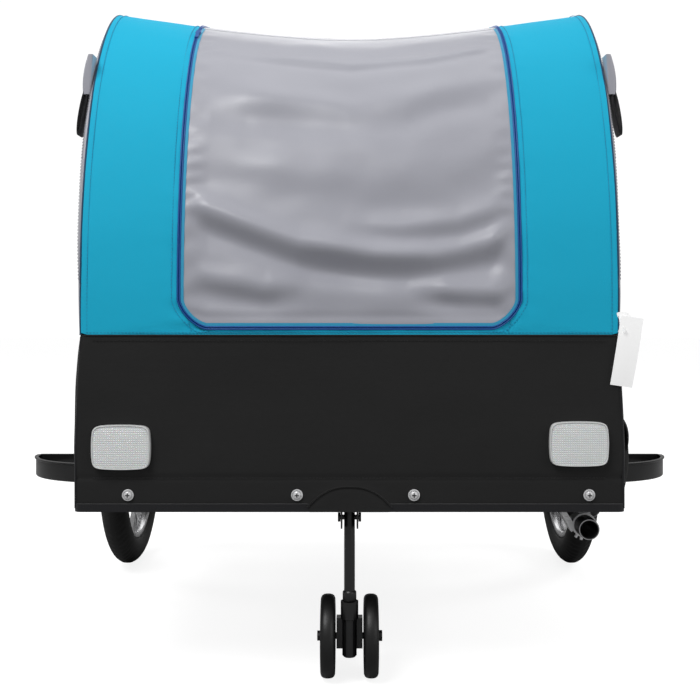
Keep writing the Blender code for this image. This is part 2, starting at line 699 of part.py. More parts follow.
def pivots():
    """Empties that mark each moving piece's axis."""
    marks = {
        "fold_axis": (0, *FRONT_BOW_PIVOT),
        "rear_bow_axis": (0, *REAR_BOW_PIVOT),
        "seat_axis": (0, *SEAT_PIVOT),
        "flap_axis": (0, FLAP_TOP_Y, side_top(FLAP_TOP_Y)),
        "castor_fold_axis": (0, CASTOR_Y, LEG_PIVOT_Z),
        "castor_swivel_axis": (0, CASTOR_Y, 0.09),
        "castor_wheel_axis": (0, CASTOR_AXLE_Y, CASTOR_R),
        "main_wheel_axis": (0, AXLE_Y, WHEEL_R),
        "handle_axis": (0, *HANDLE_PIVOT),
        "tow_pin_axis": (SOCKET_X, 0.090, SOCKET_Z),
    }
    moved = {
        "fold_axis": ("front_bow_left", "front_bow_right", "front_crossbar"),
        "rear_bow_axis": ("rear_bow_left", "rear_bow_right", "rear_crossbar"),
        "seat_axis": ("seat_back", "harness_left", "harness_right"),
        "flap_axis": ("front_flap",),
        "castor_fold_axis": ("castor_leg",),
        "castor_swivel_axis": ("castor_fork", "castor_axle"),
        "castor_wheel_axis": (
            "castor_left_hub", "castor_left_tread", "castor_right_hub", "castor_right_tread"
        ),
        "main_wheel_axis": (
            "left_tyre", "left_rim", "left_spokes", "right_tyre", "right_rim", "right_spokes"
        ),
        "handle_axis": ("push_handle", "handle_grip"),
        "tow_pin_axis": ("tow_pin",),
    }
    for name, place in marks.items():
        mark = bpy.data.objects.new(name, None)
        bpy.context.scene.collection.objects.link(mark)
        mark.location = at(*place)
        bpy.context.view_layer.update()
        for child in moved[name]:
            piece = bpy.data.objects[child]
            piece.parent = mark
            piece.matrix_parent_inverse = Matrix.Translation(-mark.location)


def main():
    for obj in list(bpy.data.objects):
        bpy.data.objects.remove(obj, do_unlink=True)
    make_frame()
    make_guards()
    make_castor_mount()
    make_castor()
    make_wheels()
    make_tow_socket()
    make_tub()
    make_covers()
    make_fittings()
    make_bows()
    make_seat()
    make_handle()
    pivots()
    bpy.context.view_layer.update()


main()
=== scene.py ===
"""Looks of the child bicycle trailer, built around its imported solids."""

from math import copysign, cos, exp, hypot, pi, radians, sin, sqrt

import bmesh
import bpy
import numpy as np
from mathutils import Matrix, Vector, noise


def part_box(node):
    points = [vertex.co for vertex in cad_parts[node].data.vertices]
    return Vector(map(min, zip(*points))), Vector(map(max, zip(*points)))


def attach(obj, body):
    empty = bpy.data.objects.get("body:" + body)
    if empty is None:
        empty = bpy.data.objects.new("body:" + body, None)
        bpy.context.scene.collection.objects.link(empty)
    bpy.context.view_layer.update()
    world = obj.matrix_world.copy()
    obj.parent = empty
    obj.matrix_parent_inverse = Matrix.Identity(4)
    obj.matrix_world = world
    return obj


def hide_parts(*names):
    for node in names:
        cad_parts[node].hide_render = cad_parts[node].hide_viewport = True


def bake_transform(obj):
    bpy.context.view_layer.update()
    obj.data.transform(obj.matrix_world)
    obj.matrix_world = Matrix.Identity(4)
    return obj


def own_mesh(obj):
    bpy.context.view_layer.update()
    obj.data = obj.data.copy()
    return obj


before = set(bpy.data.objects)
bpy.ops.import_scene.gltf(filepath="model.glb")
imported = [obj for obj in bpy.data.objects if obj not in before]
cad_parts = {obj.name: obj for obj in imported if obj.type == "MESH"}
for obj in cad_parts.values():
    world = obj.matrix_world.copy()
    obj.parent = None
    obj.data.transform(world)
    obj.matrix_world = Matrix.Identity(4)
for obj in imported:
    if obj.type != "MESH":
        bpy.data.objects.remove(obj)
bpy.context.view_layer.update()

# Places taken from the frame.
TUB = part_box("tub")
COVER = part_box("front_cover")
FRONT = TUB[0].y
TUB_LOW = TUB[0].z
TUB_DEPTH = TUB[1].y - FRONT
HALF = COVER[1].x
RIM = COVER[0].z
HOOD_TOP = COVER[1].z
ROOF_END_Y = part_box("roof_panel")[1].y - FRONT
ROOF_END_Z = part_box("rear_cover")[1].z
SIDES = ((-1, "right"), (1, "left"))

# Sizes of the soft parts, in metres. A y is a distance behind the front panel.
STRAIGHT_TOP = 0.46  # height at which the hood starts to curve back
HOOD_RUN = 0.28  # y at which it is highest
HOOD_RISE = HOOD_TOP - STRAIGHT_TOP
ZIP_HALF = 0.2025
ZIP_LOW = 0.0085
ZIP_CORNER = 0.034
CORNER_POWER = 1.55  # 2 is a round corner, 1 a straight cut
ZIP_END_Y = 0.262
FLAP_TOP_Y = 0.2
FLAP_INSET = -0.0044  # the flap's cloth against the middle of the zip
FLAP_CORNER_BAND = 0.02
CROSSBAR_Y = 0.328
STITCH_Z = 0.25
CLOTH = 0.0016
THREAD_LIFT = 0.0004
BOW_INSET = 0.0125

# Points along each straight side, each corner and the bottom of the zip.
SIDE_COUNT, ARC_COUNT, BOTTOM_COUNT = 150, 14, 70


def at(x, y, z):
    """A point given behind the front panel, in the frame's own coordinates."""
    return np.array([x, FRONT + y, z])


def middle(node):
    """Centre of a CAD node, with its y behind the front panel."""
    low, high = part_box(node)
    return (low.x + high.x) / 2, (low.y + high.y) / 2 - FRONT, (low.z + high.z) / 2


def mm(*points):
    """Points given in millimetres, in metres."""
    return [tuple(value / 1000 for value in point) for point in points]


def full_turn(count):
    """Angles of equal steps round a circle."""
    return [2 * pi * step / count for step in range(count)]


def net(rows, columns, point):
    """Grid of the points that point(row, column) gives."""
    return [[point(row, column) for column in columns] for row in rows]


def clamp(value):
    return min(max(value, 0.0), 1.0)


def unit(vectors):
    vectors = np.array(vectors, float)
    return vectors / np.maximum(np.linalg.norm(vectors, axis=-1, keepdims=True), 1e-12)


# Materials


WAVE_SCALE = 0.314  # the wave texture's scale times the pitch of its bands


def feed(tree, target, value):
    """Gives an input its value, or links it to the socket that feeds it."""
    if isinstance(value, bpy.types.NodeSocket):
        tree.links.new(value, target)
    else:
        target.default_value = value


def new_node(tree, kind, inputs=None, **settings):
    made = tree.nodes.new(kind)
    for key, value in settings.items():
        setattr(made, key, value)
    for key, value in (inputs or {}).items():
        feed(tree, made.inputs[key], value)
    return made


class Look:
    """A node material built up from a Principled shader."""

    def __init__(self, name, colour, rough, metal=0.0):
        self.material = bpy.data.materials.new(name)
        self.material.use_nodes = True
        self.material.diffuse_color = self.colour = (*colour, 1)
        self.tree = self.material.node_tree
        self.set({"Base Color": self.colour, "Roughness": rough, "Metallic": metal})

    def set(self, values):
        for key, value in values.items():
            feed(self.tree, self.tree.nodes["Principled BSDF"].inputs[key], value)

    def node(self, kind, inputs=None, **settings):
        return new_node(self.tree, kind, inputs, **settings)

    def place(self, use_uv):
        return self.node("ShaderNodeTexCoord").outputs["UV" if use_uv else "Object"]

    def math(self, operation, first, second):
        return self.node("ShaderNodeMath", {0: first, 1: second}, operation=operation).outputs[0]

    def mix(self, first, share, second, other_share):
        parts = (self.math("MULTIPLY", first, share), self.math("MULTIPLY", second, other_share))
        return self.math("ADD", *parts)

    def noise(self, scale, detail, use_uv=False, stretch=None):
        source = self.place(use_uv)
        if stretch:
            values = {"Vector": source, "Scale": stretch}
            source = self.node("ShaderNodeMapping", values).outputs[0]
        values = {"Vector": source, "Scale": scale, "Detail": detail}
        return self.node("ShaderNodeTexNoise", values).outputs["Fac"]

    def ramp(self, value, low, high):
        """A 0 to 1 value spread between low and high."""
        values = {"Value": value, "To Min": low, "To Max": high}
        return self.node("ShaderNodeMapRange", values).outputs[0]

    def roughen(self, value, low, high):
        self.set({"Roughness": self.ramp(value, low, high)})

    def tint(self, value, low, high):
        """Base colour scaled between two brightnesses by a 0 to 1 value."""
        level = self.ramp(value, low, high)
        grey = self.node("ShaderNodeCombineColor", dict.fromkeys(("Red", "Green", "Blue"), level))
        values = {"Factor": 1.0, "A": self.colour, "B": grey.outputs[0]}
        mixed = self.node("ShaderNodeMix", values, data_type="RGBA", blend_type="MULTIPLY")
        self.set({"Base Color": mixed.outputs["Result"]})

    def bump(self, height, distance):
        values = {"Height": height, "Strength": 1.0, "Distance": distance}
        self.set({"Normal": self.node("ShaderNodeBump", values).outputs[0]})

    def weave(self, use_uv, pitch):
        """Crossed threads: two sets of bands that pass over and under each other."""
        values = {"Scale": WAVE_SCALE / pitch, "Distortion": 0.4, "Detail": 1.0}
        bands = []
        for direction in ("X", "Y" if use_uv else "Z"):
            values["Vector"] = self.place(use_uv)
            settings = {"bands_direction": direction, "wave_profile": "SIN"}
            bands.append(self.node("ShaderNodeTexWave", values, **settings).outputs["Fac"])
        return self.math("MULTIPLY", *bands)


def fabric(name, colour, rough, pitch, depth, use_uv=True, sheen=0.25, variation=0.08, gloss=0.25):
    """Woven cloth: threads, slubs, a soft sheen, and a tone that is partly uneven dye and partly
    painted shade between the threads.
    """
    look = Look(name, colour, rough)
    threads = look.weave(use_uv, pitch)
    slubs = look.noise(90, 4, use_uv, (1, 3, 1))
    cloud = look.noise(5, 3)
    height = look.mix(threads, 0.7, slubs, 0.5)
    look.bump(height, depth)
    # Tone: uneven dye from the cloud, and painted shade from the threads' height, darker where
    # they lie low.
    look.tint(look.mix(cloud, 0.6, height, 0.4), 1 - variation, 1 + variation)
    look.roughen(slubs, rough - 0.08, rough + 0.08)
    look.set({"Sheen Weight": sheen, "Sheen Roughness": 0.45, "Specular IOR Level": gloss})
    return look.material


def thread(name, colour, pitch=0.0006, depth=0.0001, **more):
    """Cloth on a piece too narrow for its own texture coordinates."""
    return fabric(name, colour, more.pop("rough", 0.6), pitch, depth, use_uv=False, **more)


def hard(name, colour, rough, metal=0.0, grain=400, depth=0.00008, variation=0.06, coat=0.0):
    """Moulded, painted or bare surface: fine grain, uneven gloss and faint scuffs."""
    look = Look(name, colour, rough, metal)
    fine = look.noise(grain, 3)
    cloud = look.noise(14, 4)
    scuff = look.noise(60, 6, False, (1, 1, 7))
    look.bump(fine, depth)
    look.tint(look.mix(cloud, 0.6, scuff, 0.4), 1 - variation, 1 + variation)
    look.roughen(scuff, rough - 0.07, rough + 0.09)
    look.set({"Coat Weight": coat, "Coat Roughness": 0.12})
    return look.material


def brushed(name, colour, rough):
    """Bare metal with fine lines left by turning or drawing."""
    look = Look(name, colour, rough, 1.0)
    lines = look.noise(160, 5, False, (9, 1, 1))
    look.bump(lines, 0.00005)
    look.tint(look.noise(25, 3), 0.88, 1.08)
    look.roughen(lines, rough - 0.08, rough + 0.12)
    return look.material


def prismatic(name, colour):
    """Clear reflector: a fine grid of prisms behind a glossy face."""
    look = Look(name, colour, 0.16)
    grid = look.weave(False, 0.0026)
    look.bump(grid, 0.0005)
    # Colour follows the prisms' relief: painted shade in their grooves, painted highlight on their
    # tops.
    look.tint(grid, 0.86, 1.08)
    look.set({"Coat Weight": 0.8, "Coat Roughness": 0.08})
    look.set({"Subsurface Weight": 0.1, "Subsurface Scale": 0.004})
    return look.material


def card_with_painted_glow():
    """White card with a painted glow, so that it stays bright in the shade of the hood."""
    card = hard("blank_card_painted_glow", (0.93, 0.93, 0.93), 0.42, grain=200, depth=0.00003, variation=0.02)
    shader = card.node_tree.nodes["Principled BSDF"]
    # Emission is painted light: the card glows though it is no lamp.
    shader.inputs["Emission Color"].default_value = (1, 1, 1, 1)
    shader.inputs["Emission Strength"].default_value = 0.24
    return card


BLUE = fabric("blue_cloth", (0.009, 0.47, 0.715), 0.75, 0.0011, 0.0001, sheen=0.0, variation=0.05)
TAPE = fabric("zip_tape", (0.04, 0.37, 0.6), 0.6, 0.0008, 0.0001)
ZIP = hard("zip_coil", (0.006, 0.085, 0.34), 0.4, grain=900)
STITCH_BLUE = thread("blue_thread", (0.015, 0.27, 0.47))
GREY = fabric(
    "grey_cloth", (0.4, 0.404, 0.456), 0.36, 0.0012, 0.00006, sheen=0.1, variation=0.04, gloss=0.6
)
GREY_SOFT = thread("grey_pad_cloth", (0.33, 0.335, 0.365), 0.0016, 0.00018, rough=0.72, sheen=0.4)
BLACK = fabric(
    "black_cloth", (0.0175, 0.0175, 0.0176), 0.8, 0.0013, 0.00022, sheen=0.03, variation=0.2
)
THREAD = thread("black_thread", (0.008, 0.008, 0.008))
GREY_THREAD = thread("grey_thread", (0.24, 0.245, 0.27))
WEB = thread("webbing", (0.011, 0.011, 0.013), 0.0018, 0.00035, rough=0.66, sheen=0.3)
PIPING = thread("dark_piping", (0.01, 0.06, 0.13), 0.001, 0.00015)
# Black paint of the frame and fittings; also the painted shade of each screw's cross recess.
PAINT_AND_RECESS_SHADE = hard("black_powder_coat_and_recess_shade", (0.0075, 0.0075, 0.008), 0.36, grain=900, coat=0.2)
PLASTIC = hard("black_plastic", (0.0065, 0.0065, 0.007), 0.3, grain=700, coat=0.2)
HUB_PLASTIC = hard("castor_plastic", (0.007, 0.007, 0.0075), 0.42, grain=600)
RUBBER = hard("tyre_rubber", (0.005, 0.005, 0.005), 0.66, grain=500, depth=0.0002)
TREAD_RUBBER = hard("castor_rubber", (0.0055, 0.0055, 0.0055), 0.42, grain=500, depth=0.0001)
FOAM = hard("foam_grip", (0.011, 0.011, 0.011), 0.88, grain=700, depth=0.0006)
CHROME = hard("bright_metal", (0.82, 0.82, 0.83), 0.28, 0.25, grain=300, depth=0.00004)
STEEL = brushed("drawn_steel", (0.56, 0.56, 0.57), 0.3)
ALLOY = brushed("turned_alloy", (0.52, 0.52, 0.53), 0.26)
LENS = prismatic("reflector_prisms", (0.96, 0.97, 0.965))
TRAY = hard("reflector_rim", (0.81, 0.82, 0.815), 0.34, grain=300, coat=0.4)
CARD_WITH_PAINTED_GLOW = card_with_painted_glow()
WIRE = hard("coated_wire", (0.3, 0.3, 0.31), 0.3, 0.8, grain=900)


# Mesh helpers


def add(name, mesh):
    obj = bpy.data.objects.new(name, mesh)
    bpy.context.scene.collection.objects.link(obj)
    return obj


def piece(name, points, faces, look, body, node=None, slotted=False, uv=None, sharp=40):
    """A mesh that rides on a body, standing for a CAD node if one is named."""
    mesh = bpy.data.meshes.new(name)
    places = [tuple(map(float, point)) for point in points]
    mesh.from_pydata(places, [], [tuple(map(int, face)) for face in faces])
    if uv is not None:
        layer = mesh.uv_layers.new(name="UVMap")
        flat = np.array([uv[loop.vertex_index] for loop in mesh.loops], float)
        layer.data.foreach_set("uv", flat.ravel())
    shape = bmesh.new()
    shape.from_mesh(mesh)
    bmesh.ops.recalc_face_normals(shape, faces=shape.faces)
    shape.to_mesh(mesh)
    shape.free()
    mesh.materials.append(look)
    mesh.shade_smooth()
    mesh.set_sharp_from_angle(angle=radians(sharp))
    obj = add(name, mesh)
    if body:
        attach(obj, body)
    if node:
        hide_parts(node)
    return obj


def tube_faces(rings, count, loop, base=0):
    """Faces between rings of count points each, the first of which has the index base."""
    faces = []
    for ring in range(rings if loop else rings - 1):
        low, high = base + ring * count, base + (ring + 1) % rings * count
        for side in range(count):
            after = (side + 1) % count
            faces.append((low + side, low + after, high + after, high + side))
    if not loop:
        faces.append(tuple(range(base, base + count)))
        faces.append(tuple(range(base + (rings - 1) * count, base + rings * count)))
    return faces


def circle(centre, radius, first, second, turns):
    """Points round a centre, in the plane of two directions."""
    return [centre + radius * (first * cos(turn) + second * sin(turn)) for turn in turns]


def ring_skin(name, rings, look, body, loop=False, **more):
    """A skin through equal rings of points."""
    points = np.array(rings, float).reshape(-1, 3)
    faces = tube_faces(len(rings), len(rings[0]), loop)
    return piece(name, points, faces, look, body, **more)


def smooth_path(points, steps=8):
    """Catmull-Rom curve through points."""
    points = np.array(points, float)
    last = len(points) - 1
    made = []
    for index in range(last):
        a, b, c, d = points[[max(index - 1, 0), index, index + 1, min(index + 2, last)]]
        for step in range(steps):
            t = step / steps
            bend = (2 * a - 5 * b + 4 * c - d) * t * t + (3 * b - a - 3 * c + d) * t**3
            made.append(0.5 * (2 * b + (c - a) * t + bend))
    made.append(points[-1])
    return np.array(made)


def sweep(name, path, profile, look, body, up=(0, 0, 1), loop=False, **more):
    """A profile carried along a path; up may be one vector or one for each point."""
    path = np.array(path, float)
    if loop:
        tangent = unit(np.roll(path, -1, 0) - np.roll(path, 1, 0))
    else:
        tangent = unit(np.gradient(path, axis=0))
    side = unit(np.cross(np.broadcast_to(np.array(up, float), path.shape), tangent))
    rise = np.cross(tangent, side)
    rings = [[p + s * u + r * v for u, v in profile] for p, s, r in zip(path, side, rise)]
    return ring_skin(name, rings, look, body, loop, **more)


def rod(name, path, radius, look, body, sides=10, **more):
    """A round bar, seam or wire along a path."""
    profile = [(radius * cos(turn), radius * sin(turn)) for turn in full_turn(sides)]
    return sweep(name, path, profile, look, body, **more)


def lathe(name, profile, centre, axis, look, body, sides=64, change=None, **more):
    """A (radius, along) outline turned about an axis; change may move each of its points."""
    turn = np.array(Vector((0, 0, 1)).rotation_difference(Vector(axis)).to_matrix())
    rings = []
    for angle in full_turn(sides):
        ring = []
        for radius, along in profile:
            if change:
                radius, along = change(radius, along, angle)
            spot = np.array([radius * cos(angle), radius * sin(angle), along])
            ring.append(np.array(centre) + turn @ spot)
        rings.append(ring)
    return ring_skin(name, rings, look, body, True, **more)


def rounded(outline, radius=0.0006, steps=3):
    """An outline of 2-D points with each corner eased by a small arc."""
    outline = np.array(outline, float)
    made = []
    for index, point in enumerate(outline):
        first = outline[index - 1] - point
        second = outline[(index + 1) % len(outline)] - point
        cut = min(radius, 0.4 * np.linalg.norm(first), 0.4 * np.linalg.norm(second))
        start, stop = point + unit(first) * cut, point + unit(second) * cut
        for step in range(steps + 1):
            t = step / steps
            made.append((1 - t) ** 2 * start + 2 * t * (1 - t) * point + t * t * stop)
    return made


def strip(half_u, half_v, radius, steps=2):
    """Outline of a flat strip of webbing or card."""
    corners = [(-half_u, -half_v), (half_u, -half_v), (half_u, half_v), (-half_u, half_v)]
    return rounded(corners, radius, steps)


def sheet(name, grid, look, body, thick=CLOTH, loop=False, **more):
    """Thin closed cloth under a grid of points whose outside faces away from the thickness."""
    grid = np.array(grid, float)
    along = np.gradient(grid, axis=0)
    size = grid.shape[0] * grid.shape[1]
    index = np.arange(size).reshape(grid.shape[:2])
    if loop:
        across = np.roll(grid, -1, 1) - np.roll(grid, 1, 1)
        index = np.concatenate([index, index[:, :1]], 1)
        rims = [index[0], index[-1]]
    else:
        across = np.gradient(grid, axis=1)
        rims = [np.concatenate([index[0], index[1:, -1], index[-1, -2::-1], index[-2::-1, 0]])]
    back = grid - unit(np.cross(across, along)) * thick
    cells = np.stack([index[:-1, :-1], index[:-1, 1:], index[1:, 1:], index[1:, :-1]], 2)
    faces = []
    for a, b, c, d in cells.reshape(-1, 4):
        faces += [(a, b, c, d), (a + size, d + size, c + size, b + size)]
    for rim in rims:
        for here, there in zip(rim, rim[1:]):
            faces.append((there, here, here + size, there + size))
    step_u = np.linalg.norm(np.diff(grid, axis=1, prepend=grid[:, :1]), axis=2).cumsum(axis=1)
    step_v = np.linalg.norm(np.diff(grid, axis=0, prepend=grid[:1]), axis=2).cumsum(axis=0)
    uv = np.tile(np.stack([step_u, step_v], 2).reshape(-1, 2), (2, 1))
    points = np.concatenate([grid.reshape(-1, 3), back.reshape(-1, 3)])
    return piece(name, points, faces, look, body, uv=uv, sharp=60, **more)


STITCH_PITCH, STITCH_LENGTH, STITCH_RADIUS = 0.0042, 0.0028, 0.00038
STITCH_TURNS = [turn * pi for turn in (0.25, 0.75, 1.25, 1.75)]
STITCH_RISE = ((0.0, -0.2), (0.3, 0.9), (0.7, 0.9), (1.0, -0.2))


def stitches(name, path, outward, look, body):
    """A row of short raised threads; outward holds the directions away from the cloth."""
    path = np.array(path, float)
    outward = np.broadcast_to(np.array(outward, float), path.shape)
    steps = np.linalg.norm(np.diff(path, axis=0), axis=1)
    run = np.concatenate([[0], steps.cumsum()])

    def spot(distance, values):
        return np.array([np.interp(distance, run, values[:, axis]) for axis in range(3)])

    points, faces = [], []
    for start in np.arange(STITCH_PITCH / 2, run[-1] - STITCH_LENGTH, STITCH_PITCH):
        first, last = spot(start, path), spot(start + STITCH_LENGTH, path)
        up = unit(spot(start, outward))
        along = last - first
        side = unit(np.cross(up, along))
        faces += tube_faces(len(STITCH_RISE), len(STITCH_TURNS), False, len(points))
        for t, lift in STITCH_RISE:
            centre = first + along * t + up * STITCH_RADIUS * lift
            points += circle(centre, STITCH_RADIUS, side, up, STITCH_TURNS)
    return piece(name, points, faces, look, body)


def drift(x, y, z):
    """Smooth noise between -1 and 1."""
    return noise.noise(Vector((x, y, z)))


def wobble(point, scale, seed=0.0):
    x, y, z = (value * scale for value in point)
    return drift(x + seed, y - seed, z + 2 * seed)


def crease(distance):
    """One smooth fold: up on one side of a line and down on the other, at most 1."""
    return distance * exp(0.5 - 0.5 * distance * distance)


def soft(obj):
    """Gives the object its own copy of its mesh."""
    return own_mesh(obj)


# Hood


STRAIGHT_COUNT = 20


def hood_arc(inset, start, stop, count):
    """Places behind the front and heights on the hood's bend, inset from its outside."""
    places = []
    for turn in np.linspace(start, stop, count):
        y = HOOD_RUN - (HOOD_RUN - inset) * cos(turn)
        places.append((y, STRAIGHT_TOP + (HOOD_RISE - inset) * sin(turn)))
    return places


def hood_table():
    """Side profile of the hood as arc length, distance behind the front and height."""
    line = [(0.0, z) for z in np.linspace(RIM, STRAIGHT_TOP, STRAIGHT_COUNT)]
    line += hood_arc(0.0, 0, pi / 2, 160)[1:]
    for part in np.linspace(0, 1, 120)[1:]:
        y = HOOD_RUN + (ROOF_END_Y - HOOD_RUN) * part
        line.append((y, HOOD_TOP + (ROOF_END_Z - HOOD_TOP) * part**1.4))
    line = np.array(line)
    run = np.concatenate([[0], np.linalg.norm(np.diff(line, axis=0), axis=1).cumsum()])
    return run, line[:, 0], line[:, 1]


RUN, RUN_Y, RUN_Z = hood_table()
ROOF_S = RUN[-1]
CURVED = slice(STRAIGHT_COUNT - 1, None)


def s_at_y(y):
    """Arc length at a distance behind the front."""
    return float(np.interp(y, RUN_Y[CURVED], RUN[CURVED]))


def s_at_z(z):
    """Arc length at a height on the hood's rising front."""
    front = RUN_Y < HOOD_RUN - 0.001
    return float(np.interp(z, RUN_Z[front], RUN[front]))


# How far the middle of the cloth hangs in at places along the hood.
SAG_AT = [(s_at_z(z), depth) for z, depth in ((0.47, 0.0), (0.66, 0.004), (0.78, 0.013))]
SAG_AT += [(s_at_y(y), depth) for y, depth in ((0.19, 0.03), (0.25, 0.0335), (CROSSBAR_Y, 0.0185))]
SAG_AT += [(s_at_y(y), depth) for y, depth in ((0.42, 0.024), (0.52, 0.018), (0.6, 0.0065))]
SAG_S, SAG_DEPTH = zip(*SAG_AT, (ROOF_S, 0.004))


def sag(x, s):
    """How far the cloth hangs in from the side arches."""
    ratio = min(abs(x) / HALF, 1.0)
    shape = 1 - (max(sqrt(ratio * ratio + 0.012) - 0.11, 0.0) / 0.896) ** 1.3
    return float(np.interp(s, SAG_S, SAG_DEPTH)) * max(shape, 0.0)


def hood(x, s, lift=0.0):
    """Point on the hood's outside, raised by lift, and its outward direction."""
    low, high = max(s - 0.004, 0.0), min(s + 0.004, ROOF_S)
    dy = np.interp(high, RUN, RUN_Y) - np.interp(low, RUN, RUN_Y)
    dz = np.interp(high, RUN, RUN_Z) - np.interp(low, RUN, RUN_Z)
    size = hypot(dy, dz)
    out = np.array([0.0, -dz / size, dy / size])
    place = at(x, np.interp(s, RUN, RUN_Y), np.interp(s, RUN, RUN_Z))
    return place + out * (lift - sag(x, s)), out


def hood_stitches(name, line, look, lift=THREAD_LIFT):
    """Stitches along (width, arc length) places on the hood."""
    path, outward = zip(*[hood(x, s, lift) for x, s in line])
    return soft(stitches(name, path, outward, look, "base"))


def hood_rod(name, line, lift, radius, look, sides=10, up=(1, 0, 0)):
    path = [hood(x, s, lift)[0] for x, s in line]
    return soft(rod(name, path, radius, look, "base", sides, up=up))


# Swags across the flap, in millimetres: depth, half the width of the slope and (x, height) places.
# A swag bulges above its line and tucks in below it.
SWAGS = (
    (11.2, 14.5, (-200, 568), (-120, 538), (-59, 515))
    + ((30, 503.5), (100, 503), (165, 517), (200, 533)),
    (4.2, 18, (-160, 705), (-90, 697), (0, 686), (70, 695), (110, 712), (200, 733)),
    (1.4, 5.5, (-200, 790), (-100, 778), (0, 766), (100, 775), (200, 796)),
    (6.2, 13, (-200, 484), (-150, 474), (-100, 466), (-60, 470)),
    (6.6, 12, (80, 470), (130, 463), (200, 459)),
    (1.8, 20, (-200, 640), (-100, 610), (20, 590), (110, 600), (190, 630)),
    (4.2, 11, (0, 545), (60, 540), (130, 546), (200, 572)),
)
SWAG_REACH = 0.19  # a swag that goes this far out runs into the zip
SWAG_FADE = 0.045


def folds(x, s, edge):
    """Slack of the flap's cloth: swags that die out at the zip."""
    z = float(np.interp(s, RUN, RUN_Z))
    fade = clamp(edge / 0.03)
    fade = fade * fade * (3 - 2 * fade)
    height = 0.0
    for depth, width, *line in SWAGS:
        xs, zs = zip(*mm(*line))
        left = 1.0 if xs[0] <= -SWAG_REACH else clamp((x - xs[0] + 0.012) / SWAG_FADE)
        right = 1.0 if xs[-1] >= SWAG_REACH else clamp((xs[-1] + 0.012 - x) / SWAG_FADE)
        uneven = 0.8 + 0.5 * drift(x * 13, depth * 0.9, 0.5)
        slope = crease((z - float(np.interp(x, xs, zs))) / width * 1000)
        height += depth / 1000 * left * right * uneven * slope
    ripple = drift(x * 9, z * 16, 3.1) * 0.0035
    ripple += drift(x * 22 + 5, z * 34, 7.7) * 0.0012
    pucker = 0.0007 * sin(z * 260 + 3 * sin(z * 31))
    return (height + ripple) * fade + pucker * exp(-(((edge - 0.01) / 0.01) ** 2))


def both_ways(right, bottom):
    """A U-shaped run from the left top round to the right top."""
    return [(-x, s) for x, s in right] + bottom + right[::-1]


def zip_line(offset, top):
    """Run beside the zip in width and arc length, offset outwards from it."""
    half, low, corner = ZIP_HALF + offset, ZIP_LOW - offset, ZIP_CORNER + offset
    right = [(half, s) for s in np.linspace(top, low + corner, SIDE_COUNT)]
    for turn in np.linspace(0, pi / 2, ARC_COUNT + 2)[1:-1]:
        across, down = (value ** (2 / CORNER_POWER) for value in (cos(turn), sin(turn)))
        right.append((half - corner + corner * across, low + corner - corner * down))
    bottom = [(x, low) for x in np.linspace(-half + corner, half - corner, BOTTOM_COUNT)]
    return both_ways(right, bottom)


def outer_line():
    """The blue panel's own edge, point for point beside zip_line."""
    low = ZIP_LOW + ZIP_CORNER
    flat = ZIP_HALF - ZIP_CORNER
    right = [(HALF, s) for s in np.linspace(ROOF_S, low, SIDE_COUNT)]
    for part in np.linspace(0, 2, ARC_COUNT + 2)[1:-1]:
        if part < 1:
            right.append((HALF, low * (1 - part)))
        else:
            right.append((HALF - (HALF - flat) * (part - 1), 0.0))
    return both_ways(right, [(x, 0.0) for x in np.linspace(-flat, flat, BOTTOM_COUNT)])


def band(first, second, columns, lift, wrinkle=0.0):
    """Grid of hood points between two lines of (width, arc length)."""

    def point(part, ends):
        (x0, s0), (x1, s1) = ends
        x, s = x0 + (x1 - x0) * part, s0 + (s1 - s0) * part
        place, out = hood(x, s, lift)
        corner = exp(-(((abs(x) - 0.19) / 0.03) ** 2) - (s / 0.05) ** 2)
        near = exp(-part * 5) * (1 + 3 * corner)
        rumple = wobble(place, 14, 1.7) + near * wobble(place, 60, 4.1)
        return place + out * wrinkle * rumple

    return np.array(net(np.linspace(0, 1, columns), list(zip(first, second)), point))


def make_blue_cover():
    grid = band(zip_line(0.0022, ROOF_S), outer_line(), 16, 0.0, 0.0011)
    soft(sheet("blue_cover", grid[::-1], BLUE, "base", node="front_cover"))
    seam = [(x, max(s, 0.0035)) for x, s in zip_line(0.0085, s_at_y(0.3))]
    hood_stitches("zip_stitch_inner", seam, STITCH_BLUE)
    hem = [(x, 0.003) for x in np.linspace(-HALF + 0.004, HALF - 0.004, 200)]
    hood_stitches("hem_stitch", hem, STITCH_BLUE)
    for sign, name in SIDES:
        line = [(sign * (HALF + 0.0004), s) for s in np.linspace(0.0, ROOF_S, 160)]
        hood_rod(f"{name}_edge_piping", line, -0.0002, 0.0011, PIPING)
        line = [(sign * (HALF - 0.0075), s) for s in np.linspace(0.004, ROOF_S - 0.01, 160)]
        hood_stitches(f"{name}_edge_stitch", line, STITCH_BLUE)
        mitre = [(sign * (0.1925 - 0.006 * t), 0.0215 - 0.0205 * t) for t in np.linspace(0, 1, 12)]
        hood_stitches(f"{name}_mitre_stitch", mitre, STITCH_BLUE)


def dense(line):
    """A line with two more points between each pair."""
    line = np.array(line, float)
    steps = np.arange(0, len(line) - 1 + 1e-9, 1 / 3)
    return np.stack([np.interp(steps, range(len(line)), line[:, axis]) for axis in (0, 1)], 1)


COIL_LAYERS = ((0.0, 0.0002), (0.15, 0.0012), (0.5, 0.0018), (0.85, 0.0014), (1.0, 0.0002))


def coil(name, inner, outer, top, body):
    """Half of the zip: a raised band whose edge steps in and out like teeth."""
    first, second = dense(zip_line(inner, top)), dense(zip_line(outer, top))
    rows = []
    for part, lift in COIL_LAYERS:
        row = []
        for index, (start, stop) in enumerate(zip(first, second)):
            x, s = start + (stop - start) * part
            tooth = 0.0004 if index % 2 and 0 < part < 1 else 0.0
            row.append(hood(x, s, lift + tooth)[0])
        rows.append(row)
    soft(sheet(name, rows[::-1], ZIP, body, thick=0.0006))


